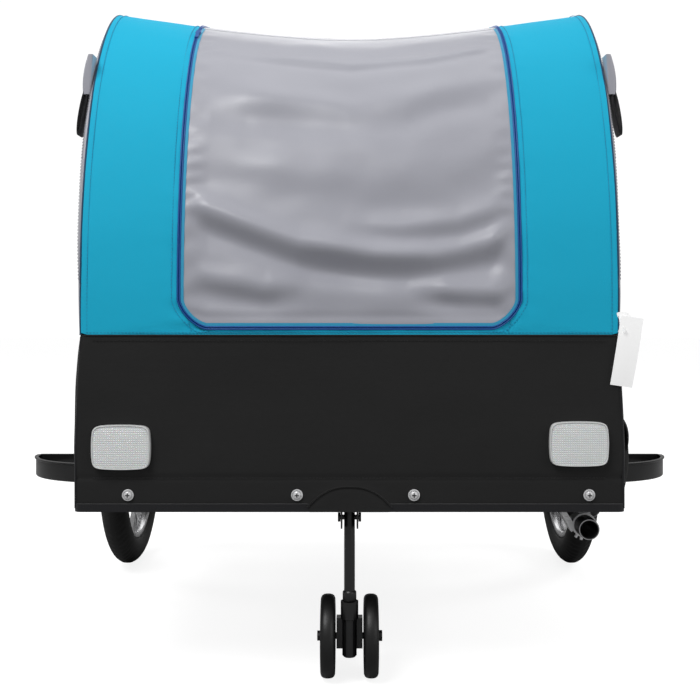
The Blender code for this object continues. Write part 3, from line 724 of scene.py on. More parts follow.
def flap_width(s):
    """Half width of the flap's cloth at an arc length, cut in at its bottom corners."""
    half, low, corner = ZIP_HALF + FLAP_INSET, ZIP_LOW - FLAP_INSET, ZIP_CORNER + FLAP_INSET
    depth = max(corner - (s - low), 0.0)
    reach = max(1.0 - (depth / corner) ** CORNER_POWER, 0.0) ** (1 / CORNER_POWER)
    return half - corner + corner * reach


def make_flap():
    hinge = s_at_y(FLAP_TOP_Y)
    low = ZIP_LOW - FLAP_INSET
    stops = list(low + FLAP_CORNER_BAND * np.linspace(0, 1, 18) ** 2)
    stops += list(np.linspace(low + FLAP_CORNER_BAND, hinge + 0.046, 136))[1:]

    def point(s, part):
        half = flap_width(s)
        x = part * half
        edge = min(half - abs(x), s - low + 0.004)
        slack = folds(x, s, edge) * clamp((hinge - 0.002 - s) / 0.05)
        return hood(x, s, slack - 0.0014 * clamp((s - hinge + 0.003) / 0.003))[0]

    grid = net(stops, np.linspace(-1, 1, 121), point)
    soft(sheet("grey_flap", grid, GREY, "flap", thick=0.001, node="front_flap"))
    tape = band(zip_line(FLAP_INSET - 0.0015, hinge), zip_line(-0.0012, hinge), 4, 0.0006)
    soft(sheet("flap_tape", tape[::-1], TAPE, "flap", thick=0.0006))
    top = s_at_y(ZIP_END_Y)
    coil("zip_inner_half", -0.0024, -0.0001, hinge, "flap")
    coil("zip_outer_half", 0.0001, 0.0026, top, "base")
    for sign, name in SIDES:
        line = [(sign * (ZIP_HALF - 0.0013), s) for s in np.linspace(hinge + 0.0005, top, 30)]
        hood_rod(f"{name}_zip_end", line, 0.0008, 0.0013, ZIP, 8)
    make_zip_pull()


def make_zip_pull():
    """Slider and tab parked high on the flap's right edge."""
    point, out = hood(-(ZIP_HALF - 0.0005), s_at_y(0.165), 0.0022)
    along = np.cross(out, (1.0, 0.0, 0.0))
    slider = mm((-3.2, 6), (3.2, 6), (4, 0), (2.6, -6), (-2.6, -6), (-4, 0))
    tab = mm((-2, -2), (2, -2), (2.6, -22), (-2.6, -22))
    parts = (
        ("slider", slider, ((0.9, -0.0012), (1, 0.0), (0.8, 0.0016))),
        ("tab", tab, ((1, 0.001), (1, 0.002))),
    )
    for name, outline, layers in parts:
        rings = []
        for scale, height in layers:
            base = point + out * height
            spots = [(u * scale, v * scale) for u, v in rounded(outline, 0.001)]
            rings.append([base + np.array([u, 0, 0]) + along * v for u, v in spots])
        soft(ring_skin(f"zip_{name}", rings, ZIP, "flap"))


def make_roof():
    start = s_at_y(FLAP_TOP_Y)
    half = ZIP_HALF + 0.0005

    def point(s, x):
        ripple = 0.0022 * drift(x * 10, s * 9, 9.0) * clamp((s - start - 0.05) / 0.03)
        return hood(x, s, ripple)[0]

    grid = net(np.linspace(start, ROOF_S, 90), np.linspace(-half, half, 101), point)
    soft(sheet("roof_cloth", grid, GREY, "base", thick=0.001, node="roof_panel"))
    rail = [(x, ROOF_S) for x in np.linspace(-HALF, HALF, 60)]
    hood_rod("roof_rear_piping", rail, 0.0, 0.0022, PIPING, up=(0, 1, 0))
    crossbar = s_at_y(CROSSBAR_Y)
    for s in (crossbar + 0.013, crossbar - 0.013):
        line = [(x, s) for x in np.linspace(-ZIP_HALF, ZIP_HALF, 120)]
        hood_stitches(f"roof_stitch_{int(s * 1000)}", line, GREY_THREAD, 0.0006)
    seam = mm((-4, -0.3), (4, -0.3), (4, 0.4), (0, 0.9), (-4, 0.4))
    for sign, name in SIDES:
        stops = np.linspace(s_at_y(ZIP_END_Y), ROOF_S - 0.003, 60)
        path, outward = zip(*[hood(sign * ZIP_HALF, s, 0.0005) for s in stops])
        soft(sweep(f"roof_{name}_seam", path, seam, BLUE, "base", up=np.array(outward)))


# Upright creases on the rear: place across at the top, and how far each one leans.
REAR_CREASES = ((-0.16, 0.2), (0.05, -0.05), (0.19, -0.26))


def rear_point(x, part, lift=0.0):
    """Point on the slanted rear cloth, from its top edge down to the tub's rim."""
    top = np.array([ROOF_END_Y, ROOF_END_Z])
    foot = np.array([TUB_DEPTH - 0.001, RIM])
    slope = unit(foot - top)
    out = np.array([-slope[1], slope[0]])
    belly = 0.007 * sin(pi * part) * (1 - (x / HALF) ** 2)
    belly += 0.0022 * drift(x * 11, part * 5, 2.0)
    belly += 0.005 * drift(x * 4, part * 2.2, 6.0)
    for start, lean in REAR_CREASES:
        belly += 0.0042 * crease((x - start - lean * part) / 0.02) * part
    y, z = top + (foot - top) * part + out * (lift - belly * sin(pi * part) ** 0.5)
    return at(x, y, z - sag(x, ROOF_S) * (1 - part) ** 3), np.array([0.0, *out])


def make_rear():
    across = np.linspace(-HALF, HALF, 90)[::-1]
    grid = [[rear_point(x, part)[0] for x in across] for part in np.linspace(1, 0, 60)]
    soft(sheet("rear_cloth", grid, BLACK, "base", node="rear_cover"))
    for part, name in ((0.05, "top"), (0.95, "low")):
        across = np.linspace(-HALF + 0.006, HALF - 0.006, 150)
        path, outward = zip(*[rear_point(x, part, THREAD_LIFT) for x in across])
        soft(stitches(f"rear_stitch_{name}", path, outward, GREY_THREAD, "base"))
    for sign, name in SIDES:
        path = [rear_point(sign * (HALF + 0.0004), part)[0] for part in np.linspace(0, 1, 60)]
        soft(rod(f"rear_{name}_piping", path, 0.0021, PIPING, "base", up=(1, 0, 0)))


def side_top(y):
    """Height of the hood's side edge."""
    if y <= ROOF_END_Y:
        return float(np.interp(y, RUN_Y[CURVED], RUN_Z[CURVED]))
    part = (y - ROOF_END_Y) / (TUB_DEPTH - ROOF_END_Y)
    return ROOF_END_Z + (RIM - ROOF_END_Z) * part


# Creases that rise from the rim of each side: y at the foot, lean and depth.
SIDE_CREASES = ((0.1, 0.5, 0.0046), (0.34, 0.16, 0.0034), (0.6, -0.1, 0.0042), (0.8, -0.42, 0.005))


def side_point(sign, y, part, lift=0.0):
    """Point on a side's cloth, a share of the way from the rim to the hood's edge."""
    top = max(side_top(y) - 0.0008, RIM + 0.004)
    z = RIM + (top - RIM) * part
    calm = sin(pi * part) ** 0.5
    belly = 0.0165 * max(sin(pi * y / TUB_DEPTH), 0.0) ** 0.38
    belly *= sin(pi * part) ** 0.6
    belly += 0.0016 * drift(y * 12, z * 12, 4.0 + sign) * calm
    belly += 0.007 * drift(y * 4.2 + z * 2.0, z * 3.0 - y, 8.0 + sign) * calm
    height = exp(-(((z - RIM) / 0.17) ** 2))
    for foot, lean, depth in SIDE_CREASES:
        belly += depth * crease((y - foot - lean * (z - RIM)) / 0.017) * height * calm
    return at(sign * (HALF + 0.0018 + belly + lift), y, z)


def side_stitches(name, sign, line):
    soft(stitches(name, line, (sign, 0, 0), GREY_THREAD, "base"))


def bow_channel(sign, name):
    """Two rows of stitching that hold the front bow's sleeve to the side cloth."""
    for inset, row in ((0.014, "outer"), (0.034, "inner")):
        line = []
        for y, z in hood_arc(inset, 0.06, radians(84), 130):
            part = (z - RIM) / (side_top(y) - 0.0008 - RIM)
            line.append(side_point(sign, y, part, 0.0003))
        side_stitches(f"{name}_bow_stitch_{row}", sign, line)


def make_sides():
    spans = ((0.02, 0.28, 34), (0.29, ROOF_END_Y, 34), (ROOF_END_Y + 0.006, TUB_DEPTH - 0.001, 28))
    edge = [0.0003, 0.002, 0.005, 0.009, 0.014]
    stops = np.concatenate([edge, *[np.linspace(*span) for span in spans]])
    for sign, name in SIDES:
        across = stops[::sign]
        grid = [[side_point(sign, y, part) for y in across] for part in np.linspace(0, 1, 46)]
        panel = f"{name}_side_panel"
        soft(sheet(f"{name}_side_cloth", grid, GREY, "base", thick=0.0014, node=panel))
        bow_channel(sign, name)
        hem = np.linspace(0.01, TUB_DEPTH - 0.02, 160)
        line = [side_point(sign, y, 0.02, THREAD_LIFT) for y in hem]
        side_stitches(f"{name}_side_hem", sign, line)
        line = []
        for y in np.linspace(0.03, TUB_DEPTH - 0.06, 220):
            part = 1 - 0.01 / max(side_top(y) - RIM, 0.05)
            line.append(side_point(sign, y, part, THREAD_LIFT))
        side_stitches(f"{name}_side_stitch", sign, line)


# Tub


TUB_CORNER = 0.007
TUB_INSIDE = 0.0035  # from the outside of the tub to its floor's edge
ARCH_HALF = 0.053
ARCH_RISE = 0.031


def corner_arc(x, y, radius, start, steps):
    """A quarter circle of points about (x, y), from an angle in degrees."""
    angles = [radians(start + 90 * step / steps) for step in range(steps + 1)]
    return [(x + radius * cos(angle), y + radius * sin(angle)) for angle in angles]


def tub_outline(count_long=110, count_wide=90):
    """The tub's outline from above, with small corner arcs, as x and distance behind the front."""
    x, y, low = HALF - TUB_CORNER, TUB_DEPTH - TUB_CORNER, TUB_CORNER
    corners = [(x, y, 0), (-x, y, 90), (-x, low, 180), (x, low, 270)]
    points = []
    for index, (x, y, start) in enumerate(corners):
        points += corner_arc(x, y, TUB_CORNER, start, 6)
        angle = radians(start + 90)
        turn = TUB_CORNER * np.array([cos(angle), sin(angle)])
        here, there = np.array([x, y]) + turn, np.array(corners[(index + 1) % 4][:2]) + turn
        count = count_wide if index % 2 == 0 else count_long
        for part in np.linspace(0, 1, count + 2)[1:-1]:
            points.append(tuple(here + (there - here) * part))
    return points


def arch(x):
    """Height of the raised arch seam over the castor's bracket."""
    return ARCH_RISE * max(1 - (abs(x) / ARCH_HALF) ** 2.4, 0.0)


def flare(z):
    """How far the tub's cloth stands out at each side, most near its foot."""
    return 0.0015 + 0.0068 * clamp((RIM - z) / 0.14) ** 0.85


def tub_point(x, y, z):
    """Point on the tub's cloth, with its swelling panels, dented stitch line and front arch."""
    nx = 0.0 if abs(x) < HALF - 0.0065 else copysign(1, x)
    ny = -1.0 if y < 0.001 else (1.0 if y > TUB_DEPTH - 0.001 else 0.0)
    swell = sin(pi * clamp((z - STITCH_Z) / (RIM - STITCH_Z)))
    lift = 0.0024 * swell * wobble((x, y, z), 5, 2.0)
    lift += (0.0025 if nx and y > 0.006 else 0.0011) * swell**0.6
    lift += 0.0007 * wobble((x, y, z), 24, 5.0)
    lift -= 0.0013 * exp(-(((z - STITCH_Z) / 0.0022) ** 2))
    rise = arch(x) if y < 0.001 else 0.0
    if rise > 0:
        depth = (TUB_LOW + rise - z) / 0.004
        lift += 0.003 / (1 + exp(-depth * 2)) * min(rise / 0.008, 1)
    return at(x * (1 + flare(z) / HALF) + nx * lift, y + ny * lift, z)


def make_tub():
    low_part = np.linspace(TUB_LOW, STITCH_Z, 22)
    levels = np.concatenate([low_part, np.linspace(STITCH_Z, RIM - 0.0005, 46)[1:]])
    grid = [[tub_point(x, y, z) for x, y in tub_outline()] for z in levels]
    sheet("tub_cloth", grid, BLACK, "base", thick=0.002, loop=True, node="tub")
    half, back = HALF - TUB_INSIDE, TUB_DEPTH - TUB_INSIDE

    def point(y, x):
        return at(x, y, 0.244 + 0.0012 * wobble((x, y, 0), 9, 3.0))

    floor = net(np.linspace(TUB_INSIDE, back, 60), np.linspace(-half, half, 44), point)
    sheet("tub_floor", floor, BLACK, "base", thick=0.002)
    for height, name, front, side_out in (
        (STITCH_Z, "low", -0.0006, 0.0),
        (RIM - 0.0065, "high", -0.0012, 0.001),
    ):
        path = [at(x, front, height) for x in np.linspace(-HALF + 0.012, HALF - 0.012, 150)]
        stitches(f"front_stitch_{name}", path, (0, -1, 0), THREAD, "base")
        for sign, side in SIDES:
            x = sign * (HALF + 0.0004 + flare(height) + side_out)
            path = [at(x, y, height) for y in np.linspace(0.014, TUB_DEPTH - 0.014, 200)]
            stitches(f"{side}_tub_stitch_{name}", path, (sign, 0, 0), THREAD, "base")
    across = np.linspace(-0.05, 0.05, 80)
    path = [at(x, -0.0036, TUB_LOW + 0.0025 + 0.9 * arch(x)) for x in across]
    rod("arch_seam", path, 0.0009, THREAD, "base", 8, up=(0, 1, 0))
    outline = tub_outline(60, 50)
    path = [at(x, y, RIM - 0.0002) for x, y in outline]
    profile = mm((-1.2, -0.8), (0.8, -0.8), (1.2, 0), (0.8, 0.8), (-1.2, 0.8))
    sweep("rim_seam", path, profile, WEB, "base", loop=True)
    wider = 1 + (flare(TUB_LOW) - 0.0022) / HALF
    path = [at(x * wider, y, TUB_LOW + 0.0004) for x, y in outline]
    profile = mm((-2.2, -0.4), (1, -0.4), (1.2, 9), (-0.4, 9.4), (-2.2, 9))
    sweep("skirt_binding", path, profile, WEB, "base", loop=True)
    for sign, name in SIDES:
        heights = np.linspace(TUB_LOW + 0.004, RIM - 0.002, 30)
        path = [at(sign * (HALF - 0.0018 + flare(z)), 0.0016, z) for z in heights]
        rod(f"{name}_corner_seam", path, 0.0014, WEB, "base", 8, up=(0, 1, 0))


def make_pocket():
    """Gathered pouch with a flap on the tub's left side."""
    low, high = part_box("side_pocket")
    _, centre, _ = middle("side_pocket")

    def pouch(z, t):
        part = (z - low.z) / (high.z - low.z)
        out = (high.x - HALF) * (sin(pi * min(part * 0.62 + 0.2, 1.0)) ** 0.8)
        spread = copysign(abs(cos(pi * t)) ** 0.55, cos(pi * t))
        reach = sin(pi * t) ** 0.45 if 0 < t < 1 else 0.0
        gather = 0.001 * sin(t * 60) * part
        y = centre - spread * (high.y - low.y) / 2
        return at(HALF + 0.0022 + (out + gather) * reach, y, z)

    def flap(t, u):
        reach = 0.004 + (high.x - HALF - 0.002) * sin(t * pi * 0.62)
        x = HALF + 0.001 + reach * (1 - 0.25 * abs(u) ** 3)
        return at(x, centre + u * 0.052, high.z + 0.004 - 0.046 * t**1.6 - 0.004 * u * u)

    grid = net(np.linspace(low.z, high.z, 34), np.linspace(0, 1, 50), pouch)
    sheet("pocket_pouch", grid, BLACK, "base", thick=0.0015, node="side_pocket")
    grid = net(np.linspace(1, 0, 20), np.linspace(-1, 1, 30), flap)
    sheet("pocket_flap", grid, BLACK, "base", thick=0.0018)


# Fittings


BARREL_POWER = 9
LENS_ROWS, LENS_COLUMNS = 34, 44
LENS_SHARE = 0.943  # of the tray's half width and height


def barrel(u, v):
    """A point of the unit square moved to the same point of a barrel with rounded corners."""
    size = (abs(u) ** BARREL_POWER + abs(v) ** BARREL_POWER) ** (1 / BARREL_POWER)
    fit = max(abs(u), abs(v)) / max(size, 1e-9)
    u, v = u * fit, v * fit
    return u * (1 - 0.055 * v * v), v * (1 - 0.06 * u * u)


def barrel_outline(half_u, half_v):
    points = []
    for angle in full_turn(96):
        c, s = cos(angle), sin(angle)
        reach = max(abs(c), abs(s))
        u, v = barrel(c / reach, s / reach)
        points.append((u * half_u, v * half_v))
    return points


def make_reflector(name):
    node = f"{name}_reflector_tray"
    low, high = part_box(node)
    x, _, z = middle(node)
    half_u, half_v = (high.x - low.x) / 2, (high.z - low.z) / 2
    layers = [(1.0, 0.0006), (1.0, 0.007), (0.992, 0.0083), (0.975, 0.009)]
    layers += [(0.96, 0.009), (0.95, 0.0084), (0.946, 0.006)]
    rings = []
    for scale, depth in layers:
        outline = barrel_outline(half_u * scale, half_v * scale)
        rings.append([at(x + u, -depth, z + v) for u, v in outline])
    ring_skin(f"{name}_reflector_rim", rings, TRAY, "base", node=node)

    def face(row, column):
        u, v = -1 + 2 * column / (LENS_COLUMNS - 1), -1 + 2 * row / (LENS_ROWS - 1)
        across, up = barrel(u, v)
        facet = 0.00022 if (row + column) % 2 else 0.0
        out = 0.0078 + 0.0012 * (1 - max(abs(u), abs(v)) ** 3) + facet
        return at(x + across * half_u * LENS_SHARE, -out, z + up * half_v * LENS_SHARE)

    grid = net(range(LENS_ROWS), range(LENS_COLUMNS), face)
    node = f"{name}_reflector_lens"
    sheet(f"{name}_reflector_face", grid, LENS, "base", thick=0.0012, node=node)


WASHER = mm((3, 0.6), (6.8, 0.6), (7, 1), (6.8, 2), (5.9, 2.3), (5.5, 1.2), (3, 1.2))
SCREW_DOME = mm((0.1, 1.8), (4.8, 1.8), (4.8, 2.6), (4.4, 3.6), (3.6, 4.3), (2.8, 4.6))
SCREW_DOME += mm((1.6, 4.8), (0.1, 4.9))
CROSS_ARM, CROSS_HALF = 0.0026, 0.0006


def make_screw(name):
    x, _, z = middle(name)
    outwards = (0, -1, 0)
    lathe(f"{name}_washer", WASHER, at(x, 0, z), outwards, CHROME, "base", 40, slotted=True)
    more = {"node": name, "sharp": 30}
    lathe(f"{name}_head", SCREW_DOME, at(x, 0, z), outwards, CHROME, "base", 40, **more)
    # The cross is a black block in the head, standing for the shade in its recess: painted shade.
    a, h = CROSS_ARM, CROSS_HALF
    cross = [(h, h), (h, a), (-h, a), (-h, h), (-a, h), (-a, -h)]
    cross += [(-u, -v) for u, v in cross]
    rings = [[at(x + u, -depth, z + v) for u, v in cross] for depth in (0.004, 0.0051)]
    ring_skin(f"{name}_cross", rings, PAINT_AND_RECESS_SHADE, "base")


def make_guard(side):
    """D-shaped band with a rolled top edge and two rivets."""
    node = f"{side}_wheel_guard"
    low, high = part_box(node)
    _, _, centre = middle(node)
    sign = 1 if side == "left" else -1
    start = HALF + 0.002
    path = []
    for turn in np.linspace(0, pi / 2, 40):
        path.append((start + 0.118 * sin(turn), 0.257 - 0.092 * cos(turn)))
    path += [(start + 0.1178, 0.26), (start + 0.116, 0.2624), (start + 0.113, 0.263)]
    path += [(start + 0.113 * (1 - t), 0.263) for t in np.linspace(0.1, 1, 10)]
    points = [at(sign * x, y, centre) for x, y in path]
    tall = (high.z - low.z) / 2
    outline = [(-0.0014, -tall + 0.0012), (-0.0004, -tall), (0.0006, -tall)]
    outline += [(0.0016, -tall + 0.0012)]
    outline += [(0.0016, tall - 0.003), (0.0034, tall - 0.0012), (0.0034, tall)]
    outline += [(0.0, tall + 0.0006), (-0.0016, tall), (-0.0016, tall - 0.003)]
    outline = [(-sign * u, v) for u, v in outline]
    sweep(f"{side}_guard_band", points, outline, PLASTIC, "base", loop=True, node=node)
    rivet = mm((0.2, 1.2), (3.4, 1), (3.8, 0.2), (3.8, -0.8), (0.2, -0.8))
    for label, out, y, facing in ((176, 0.0128, 0.1724, -1), (263, 0.0208, 0.266, 1)):
        spot = at(sign * (start + out), y, centre)
        lathe(f"{side}_guard_rivet_{label}", rivet, spot, (0, facing, 0), STEEL, "base", 20)


def make_side_loops():
    """A padded grey tab and a hanging loop of webbing on each side."""
    for sign, name in SIDES[::-1]:
        node = f"{name}_side_tab"
        low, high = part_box(node)
        _, centre, _ = middle(node)
        rings = []
        for t in np.linspace(0, 1, 16):
            z = low.z - 0.009 + (high.z - low.z + 0.008) * t
            full = sin(pi * (0.1 + 0.62 * (1 - t))) ** 0.6
            inner, outer = 0.3203 + 0.003 * (1 - t), 0.3216 + 0.003 * (1 - t) + 0.01 * full
            corners = [(inner, -0.013), (outer, -0.012), (outer, 0.012), (inner, 0.013)]
            rings.append([at(sign * x, centre + y, z) for x, y in rounded(corners, 0.0035, 4)])
        soft(ring_skin(f"{name}_tab_cloth", rings, GREY, "base", node=node))
        for label, share in ((25, 0.25), (80, 0.8)):
            x, z = sign * (0.3305 - 0.002 * share), low.z - 0.009 + (high.z - low.z) * share
            line = [at(x, centre + y, z) for y in np.linspace(-0.011, 0.011, 12)]
            side_stitches(f"{name}_tab_stitch_{label}", sign, line)
        node = f"{name}_side_strap"
        low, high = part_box(node)
        line = [(0.3292, high.z + 0.003), (0.3345, 0.712), (0.3385, 0.692), (0.3402, 0.676)]
        line += [(0.3396, low.z + 0.002), (0.3372, 0.672), (0.334, 0.686), (0.33, 0.704)]
        line += [(0.3268, high.z + 0.002)]
        path = smooth_path([at(sign * x, centre, z) for x, z in line], 6)
        web = strip(0.0008, 0.0115, 0.0004)
        soft(sweep(f"{name}_strap_loop", path, web, WEB, "base", up=(0, 1, 0), node=node))


TAG_TOP_X, TAG_TOP_Z = 0.3345, 0.441
TAG_LENGTH, TAG_HALF = 0.083, 0.0135
TAG_LEAN = radians(9)


def make_tag():
    """Blank card on a short sewn loop."""
    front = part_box("hang_tag")[0].y - FRONT

    def point(t, u):
        along, across = -TAG_LENGTH * (1 - t), u * TAG_HALF
        x = TAG_TOP_X + across * cos(TAG_LEAN) + along * sin(TAG_LEAN)
        z = TAG_TOP_Z + along * cos(TAG_LEAN) - across * sin(TAG_LEAN)
        curl = 0.003 * (1 - t) ** 2 * sin(u + 0.6) - 0.0016 * sin(t * pi)
        return at(x, front + curl - 0.001, z)

    grid = net(np.linspace(0, 1, 26), np.linspace(-1, 1, 14), point)
    # The card and its sewn loop glow with painted light.
    sheet("blank_tag", grid, CARD_WITH_PAINTED_GLOW, "base", thick=0.0007, node="hang_tag")
    loop = mm((319, 2, 430), (321.2, -1, 434), (324, -1.4, 434.5), (326.2, -1.2, 433))
    path = smooth_path([at(*spot) for spot in loop], 6)
    sweep("tag_sewn_loop", path, strip(0.0005, 0.0125, 0.0003), CARD_WITH_PAINTED_GLOW, "base")


# Metalwork


def pipe(name, path, radius, body, node, **more):
    return rod(name, path, radius, PAINT_AND_RECESS_SHADE, body, 26, node=node, **more)


def make_frame_tubes():
    low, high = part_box("base_frame")
    radius = (high.z - low.z) / 2
    corner = 0.045
    x, back = high.x - radius - corner, high.y - radius - FRONT - corner
    front = low.y + radius - FRONT + corner
    path = []
    for cx, cy, start in ((x, back, 0), (-x, back, 90), (-x, front, 180), (x, front, 270)):
        for turned_x, y in corner_arc(cx, cy, corner, start, 9):
            path.append(at(turned_x, y, (low.z + high.z) / 2))
    pipe("frame_tube", path, radius, "base", "base_frame", loop=True)
    low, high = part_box("axle_beam")
    _, y, _ = middle("axle_beam")
    axle_z = 0.2
    path = [at(x, y, axle_z) for x in np.linspace(low.x, high.x, 8)]
    pipe("axle_tube", path, 0.0096, "base", "axle_beam")
    saddle = mm((-12, -11.5), (12, -11.5), (16, -2), (16, 18.5), (-16, 18.5), (-16, -2))
    for sign, name in SIDES:
        rings = []
        for out in (-0.012, -0.011, 0.011, 0.012):
            spots = [(v * 1.25, w) for v, w in rounded(saddle, 0.003)]
            rings.append([at(sign * 0.303 + out, y + v, axle_z + w) for v, w in spots])
        ring_skin(f"{name}_axle_saddle", rings, PAINT_AND_RECESS_SHADE, "base", slotted=True)


def make_tow():
    low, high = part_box("tow_socket")
    x, _, z = middle("tow_socket")
    radius, length = (high.x - low.x) / 2, 0.186
    mouth, backwards = at(x, low.y - FRONT, z), (0, 1, 0)
    outline = [(0.0105, 0.0), (0.0105, length), (radius, length), (radius, 0.0008)]
    outline += [(radius - 0.0005, 0.0)]
    lathe("tow_tube", outline, mouth, backwards, PAINT_AND_RECESS_SHADE, "base", 48, node="tow_socket")
    inner, outer, half = 0.0113, radius - 0.0004, 0.0004
    ring = [(inner, -half), (inner, half), (outer, half), (outer, -half)]
    lathe("tow_tube_lip", ring, mouth, backwards, STEEL, "base", 48)


def make_lanyard():
    """Wire from the frame to the tow pin, which it follows."""
    line = mm((300.5, 217), (309, 214), (314.5, 206), (314, 196), (309, 190), (304.5, 188.5))
    path = smooth_path([at(x, 0.081, z) for x, z in line], 8)
    wire = rod("lanyard_wire", path, 0.001, WIRE, None, 8, up=(0, 1, 0), node="pin_lanyard")
    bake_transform(wire)


def mirrored(half):
    """A turned outline completed by the mirror image of all but its bore."""
    rest = half[2:-1] if half[-1][1] == 0 else half[2:]
    return half + [(radius, -along) for radius, along in reversed(rest)]


def make_castor():
    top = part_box("castor_leg")[1].z
    _, y, _ = middle("castor_leg")
    leg = [(0.0001, top), (0.0048, top), (0.0062, top - 0.0012), (0.0065, top - 0.003)]
    leg += mm((6.5, 112.2), (8, 110.8), (8.3, 110), (8.3, 100.4), (7.9, 99.9), (4, 99.9))
    leg += mm((4, 57), (0.1, 57))
    lathe("castor_pole", leg, at(0, y, 0), (0, 0, 1), PAINT_AND_RECESS_SHADE, "castor_arm", 40, node="castor_leg")
    for _, name in SIDES[::-1]:
        make_castor_wheel(name)


CASTOR_TREAD = mm((37.5, -8.5), (37.5, 8.5), (40, 9), (45, 8.8), (47.8, 7.5), (49.3, 5.2))
CASTOR_TREAD += mm((49.9, 2.6), (50, 0))
CASTOR_CORE = mm((4.3, -8.6), (4.3, 8.6), (9.5, 8.6), (10.5, 7.8), (12, 5.2), (15, 4.8), (22, 4.6))
CASTOR_CORE += mm((29, 4.8), (31, 5.5), (33.5, 8.2), (37.3, 8.4))


def turned(name, half, centre, look, body, sides, **more):
    """A wheel part turned about a left-right axis."""
    return lathe(name, mirrored(half), centre, (1, 0, 0), look, body, sides, **more)


def make_castor_wheel(name):
    start = f"castor_{name}"
    centre = at(*middle(f"{start}_tread"))
    body = f"castor_wheel_{name}"
    node = f"{start}_tread"
    turned(f"{start}_tyre", CASTOR_TREAD, centre, TREAD_RUBBER, body, 96, node=node)

    def spoked(radius, along, angle):
        """The web is thinner between five spokes."""
        if 0.013 < radius < 0.031 and abs(along) < 0.006 and cos(angle * 5) <= -0.2:
            along *= 0.42
        return radius, along

    node = f"{start}_hub"
    turned(f"{start}_core", CASTOR_CORE, centre, HUB_PLASTIC, body, 100, change=spoked, node=node)


TYRE = mm((153, -9.8), (153, 9.8), (157, 12.2), (157.2, 15), (158.5, 17.2), (162, 19.6))
TYRE += mm((167, 21.3), (172.5, 21.9), (178, 21.4), (183.5, 19.9), (188, 17.8), (191.5, 15.5))
TYRE += mm((195, 12.5))
TYRE += mm((197.2, 9.5), (198.8, 6.5), (199.6, 4.8), (199.8, 3), (199.9, 1))
WHEEL_RIM = mm((144.8, -4), (144.8, 4), (146.2, 9.5), (148, 14.2), (149.2, 15.2), (155, 15.5))
WHEEL_RIM += mm((156.2, 15), (156.2, 13.8), (154.8, 13), (150, 11))
HUB = mm((6.6, -23.8), (6.6, 23.8), (11.5, 23.8), (12.2, 23), (12.2, 20.8), (20.5, 19.6))
HUB += mm((21, 18.6), (20.5, 17.6), (12, 16), (10.5, 12), (10, 0))
VALVE = mm((0.1, 0), (2.6, 0), (2.6, 22), (3.6, 22.4), (3.6, 29), (3, 29.6), (0.1, 29.6))
SPOKE_COUNT = 20
SPOKE_SIDES = 8


def make_wheel(side):
    centre = at(*middle(f"{side}_tyre"))
    body = f"wheel_{side}"

    def grooved(radius, along, angle):
        """Blocks of tread, staggered between the two shoulders."""
        if radius > 0.190 and abs(along) > 0.004:
            block = sin(angle * 90 + (1.6 if along > 0 else 0) + along * 260)
            radius -= 0.0013 if block > 0.55 else 0.0
        return radius, along

    tread = {"change": grooved, "node": f"{side}_tyre", "sharp": 30}
    turned(f"{side}_tyre_rubber", TYRE, centre, RUBBER, body, 360, **tread)
    turned(f"{side}_rim_alloy", WHEEL_RIM, centre, ALLOY, body, 160, node=f"{side}_rim")
    turned(f"{side}_hub_shell", HUB, centre, ALLOY, body, 72, node=f"{side}_spokes")
    make_spokes(side, centre, body)


def make_spokes(side, centre, body):
    """Crossed wire spokes with nipples at the rim, and the valve."""
    points, faces = [], []
    turns = full_turn(SPOKE_SIDES)
    for index, angle in enumerate(full_turn(SPOKE_COUNT)):
        lean = angle + radians(52 if index // 2 % 2 else -52)
        out = 0.0186 if index % 2 else -0.0186
        start = centre + np.array([out, 0.0176 * cos(lean), 0.0176 * sin(lean)])
        end = centre + np.array([out * 0.06, 0.145 * cos(angle), 0.145 * sin(angle)])
        length = np.linalg.norm(end - start)
        along = unit(end - start)
        across = unit(np.cross(along, (1.0, 0.0, 0.0)))
        rise = np.cross(along, across)
        stops = ((0, 0.001), (length - 0.013, 0.001), (length - 0.0128, 0.0019), (length, 0.0019))
        faces += tube_faces(len(stops), SPOKE_SIDES, False, len(points))
        for distance, radius in stops:
            points += circle(start + along * distance, radius, across, rise, turns)
    piece(f"{side}_wire_spokes", points, faces, STEEL, body, slotted=True)
    inwards = np.array([0, -cos(0.16), -sin(0.16)])
    lathe(f"{side}_valve", VALVE, centre - 0.144 * inwards, tuple(inwards), RUBBER, body, 16)


def make_bow_tubes():
    front = mm((16, 404), (15, 430)) + hood_arc(BOW_INSET, 0, radians(82), 34)
    front += mm((295, 851.5), (318, 844))
    rear = mm((845.8, 389.6), (730, 598), (612.1, 810.3))
    for _, name in SIDES[::-1]:
        for bow, line in (("front_bow", front), ("rear_bow", rear)):
            node = f"{bow}_{name}"
            x = middle(node)[0]
            path = [at(x, *point) for point in line]
            pipe(f"{bow}_tube_{name}", path, 0.0089, bow, node, up=(1, 0, 0))
    for end in ("front", "rear"):
        node = f"{end}_crossbar"
        low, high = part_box(node)
        _, y, z = middle(node)
        path = [at(x, y, z) for x in np.linspace(low.x, high.x, 12)]
        pipe(f"{node}_tube", path, 0.0084, f"{end}_bow", node)


HANDLE_FOOT, HANDLE_TOP = np.array([0.897, 0.375]), np.array([1.03, 0.94])
HANDLE_HALF, HANDLE_CORNER = 0.24, 0.06
GRIP = mm((12.7, -150), (12.7, 150), (16, 150), (17.4, 148.5), (17.7, 145.5))
GRIP += [(0.0171 if step % 2 else 0.0177, 0.145 - 0.29 * step / 40) for step in range(1, 40)]
GRIP += mm((17.7, -145.5), (17.4, -148.5), (16, -150))


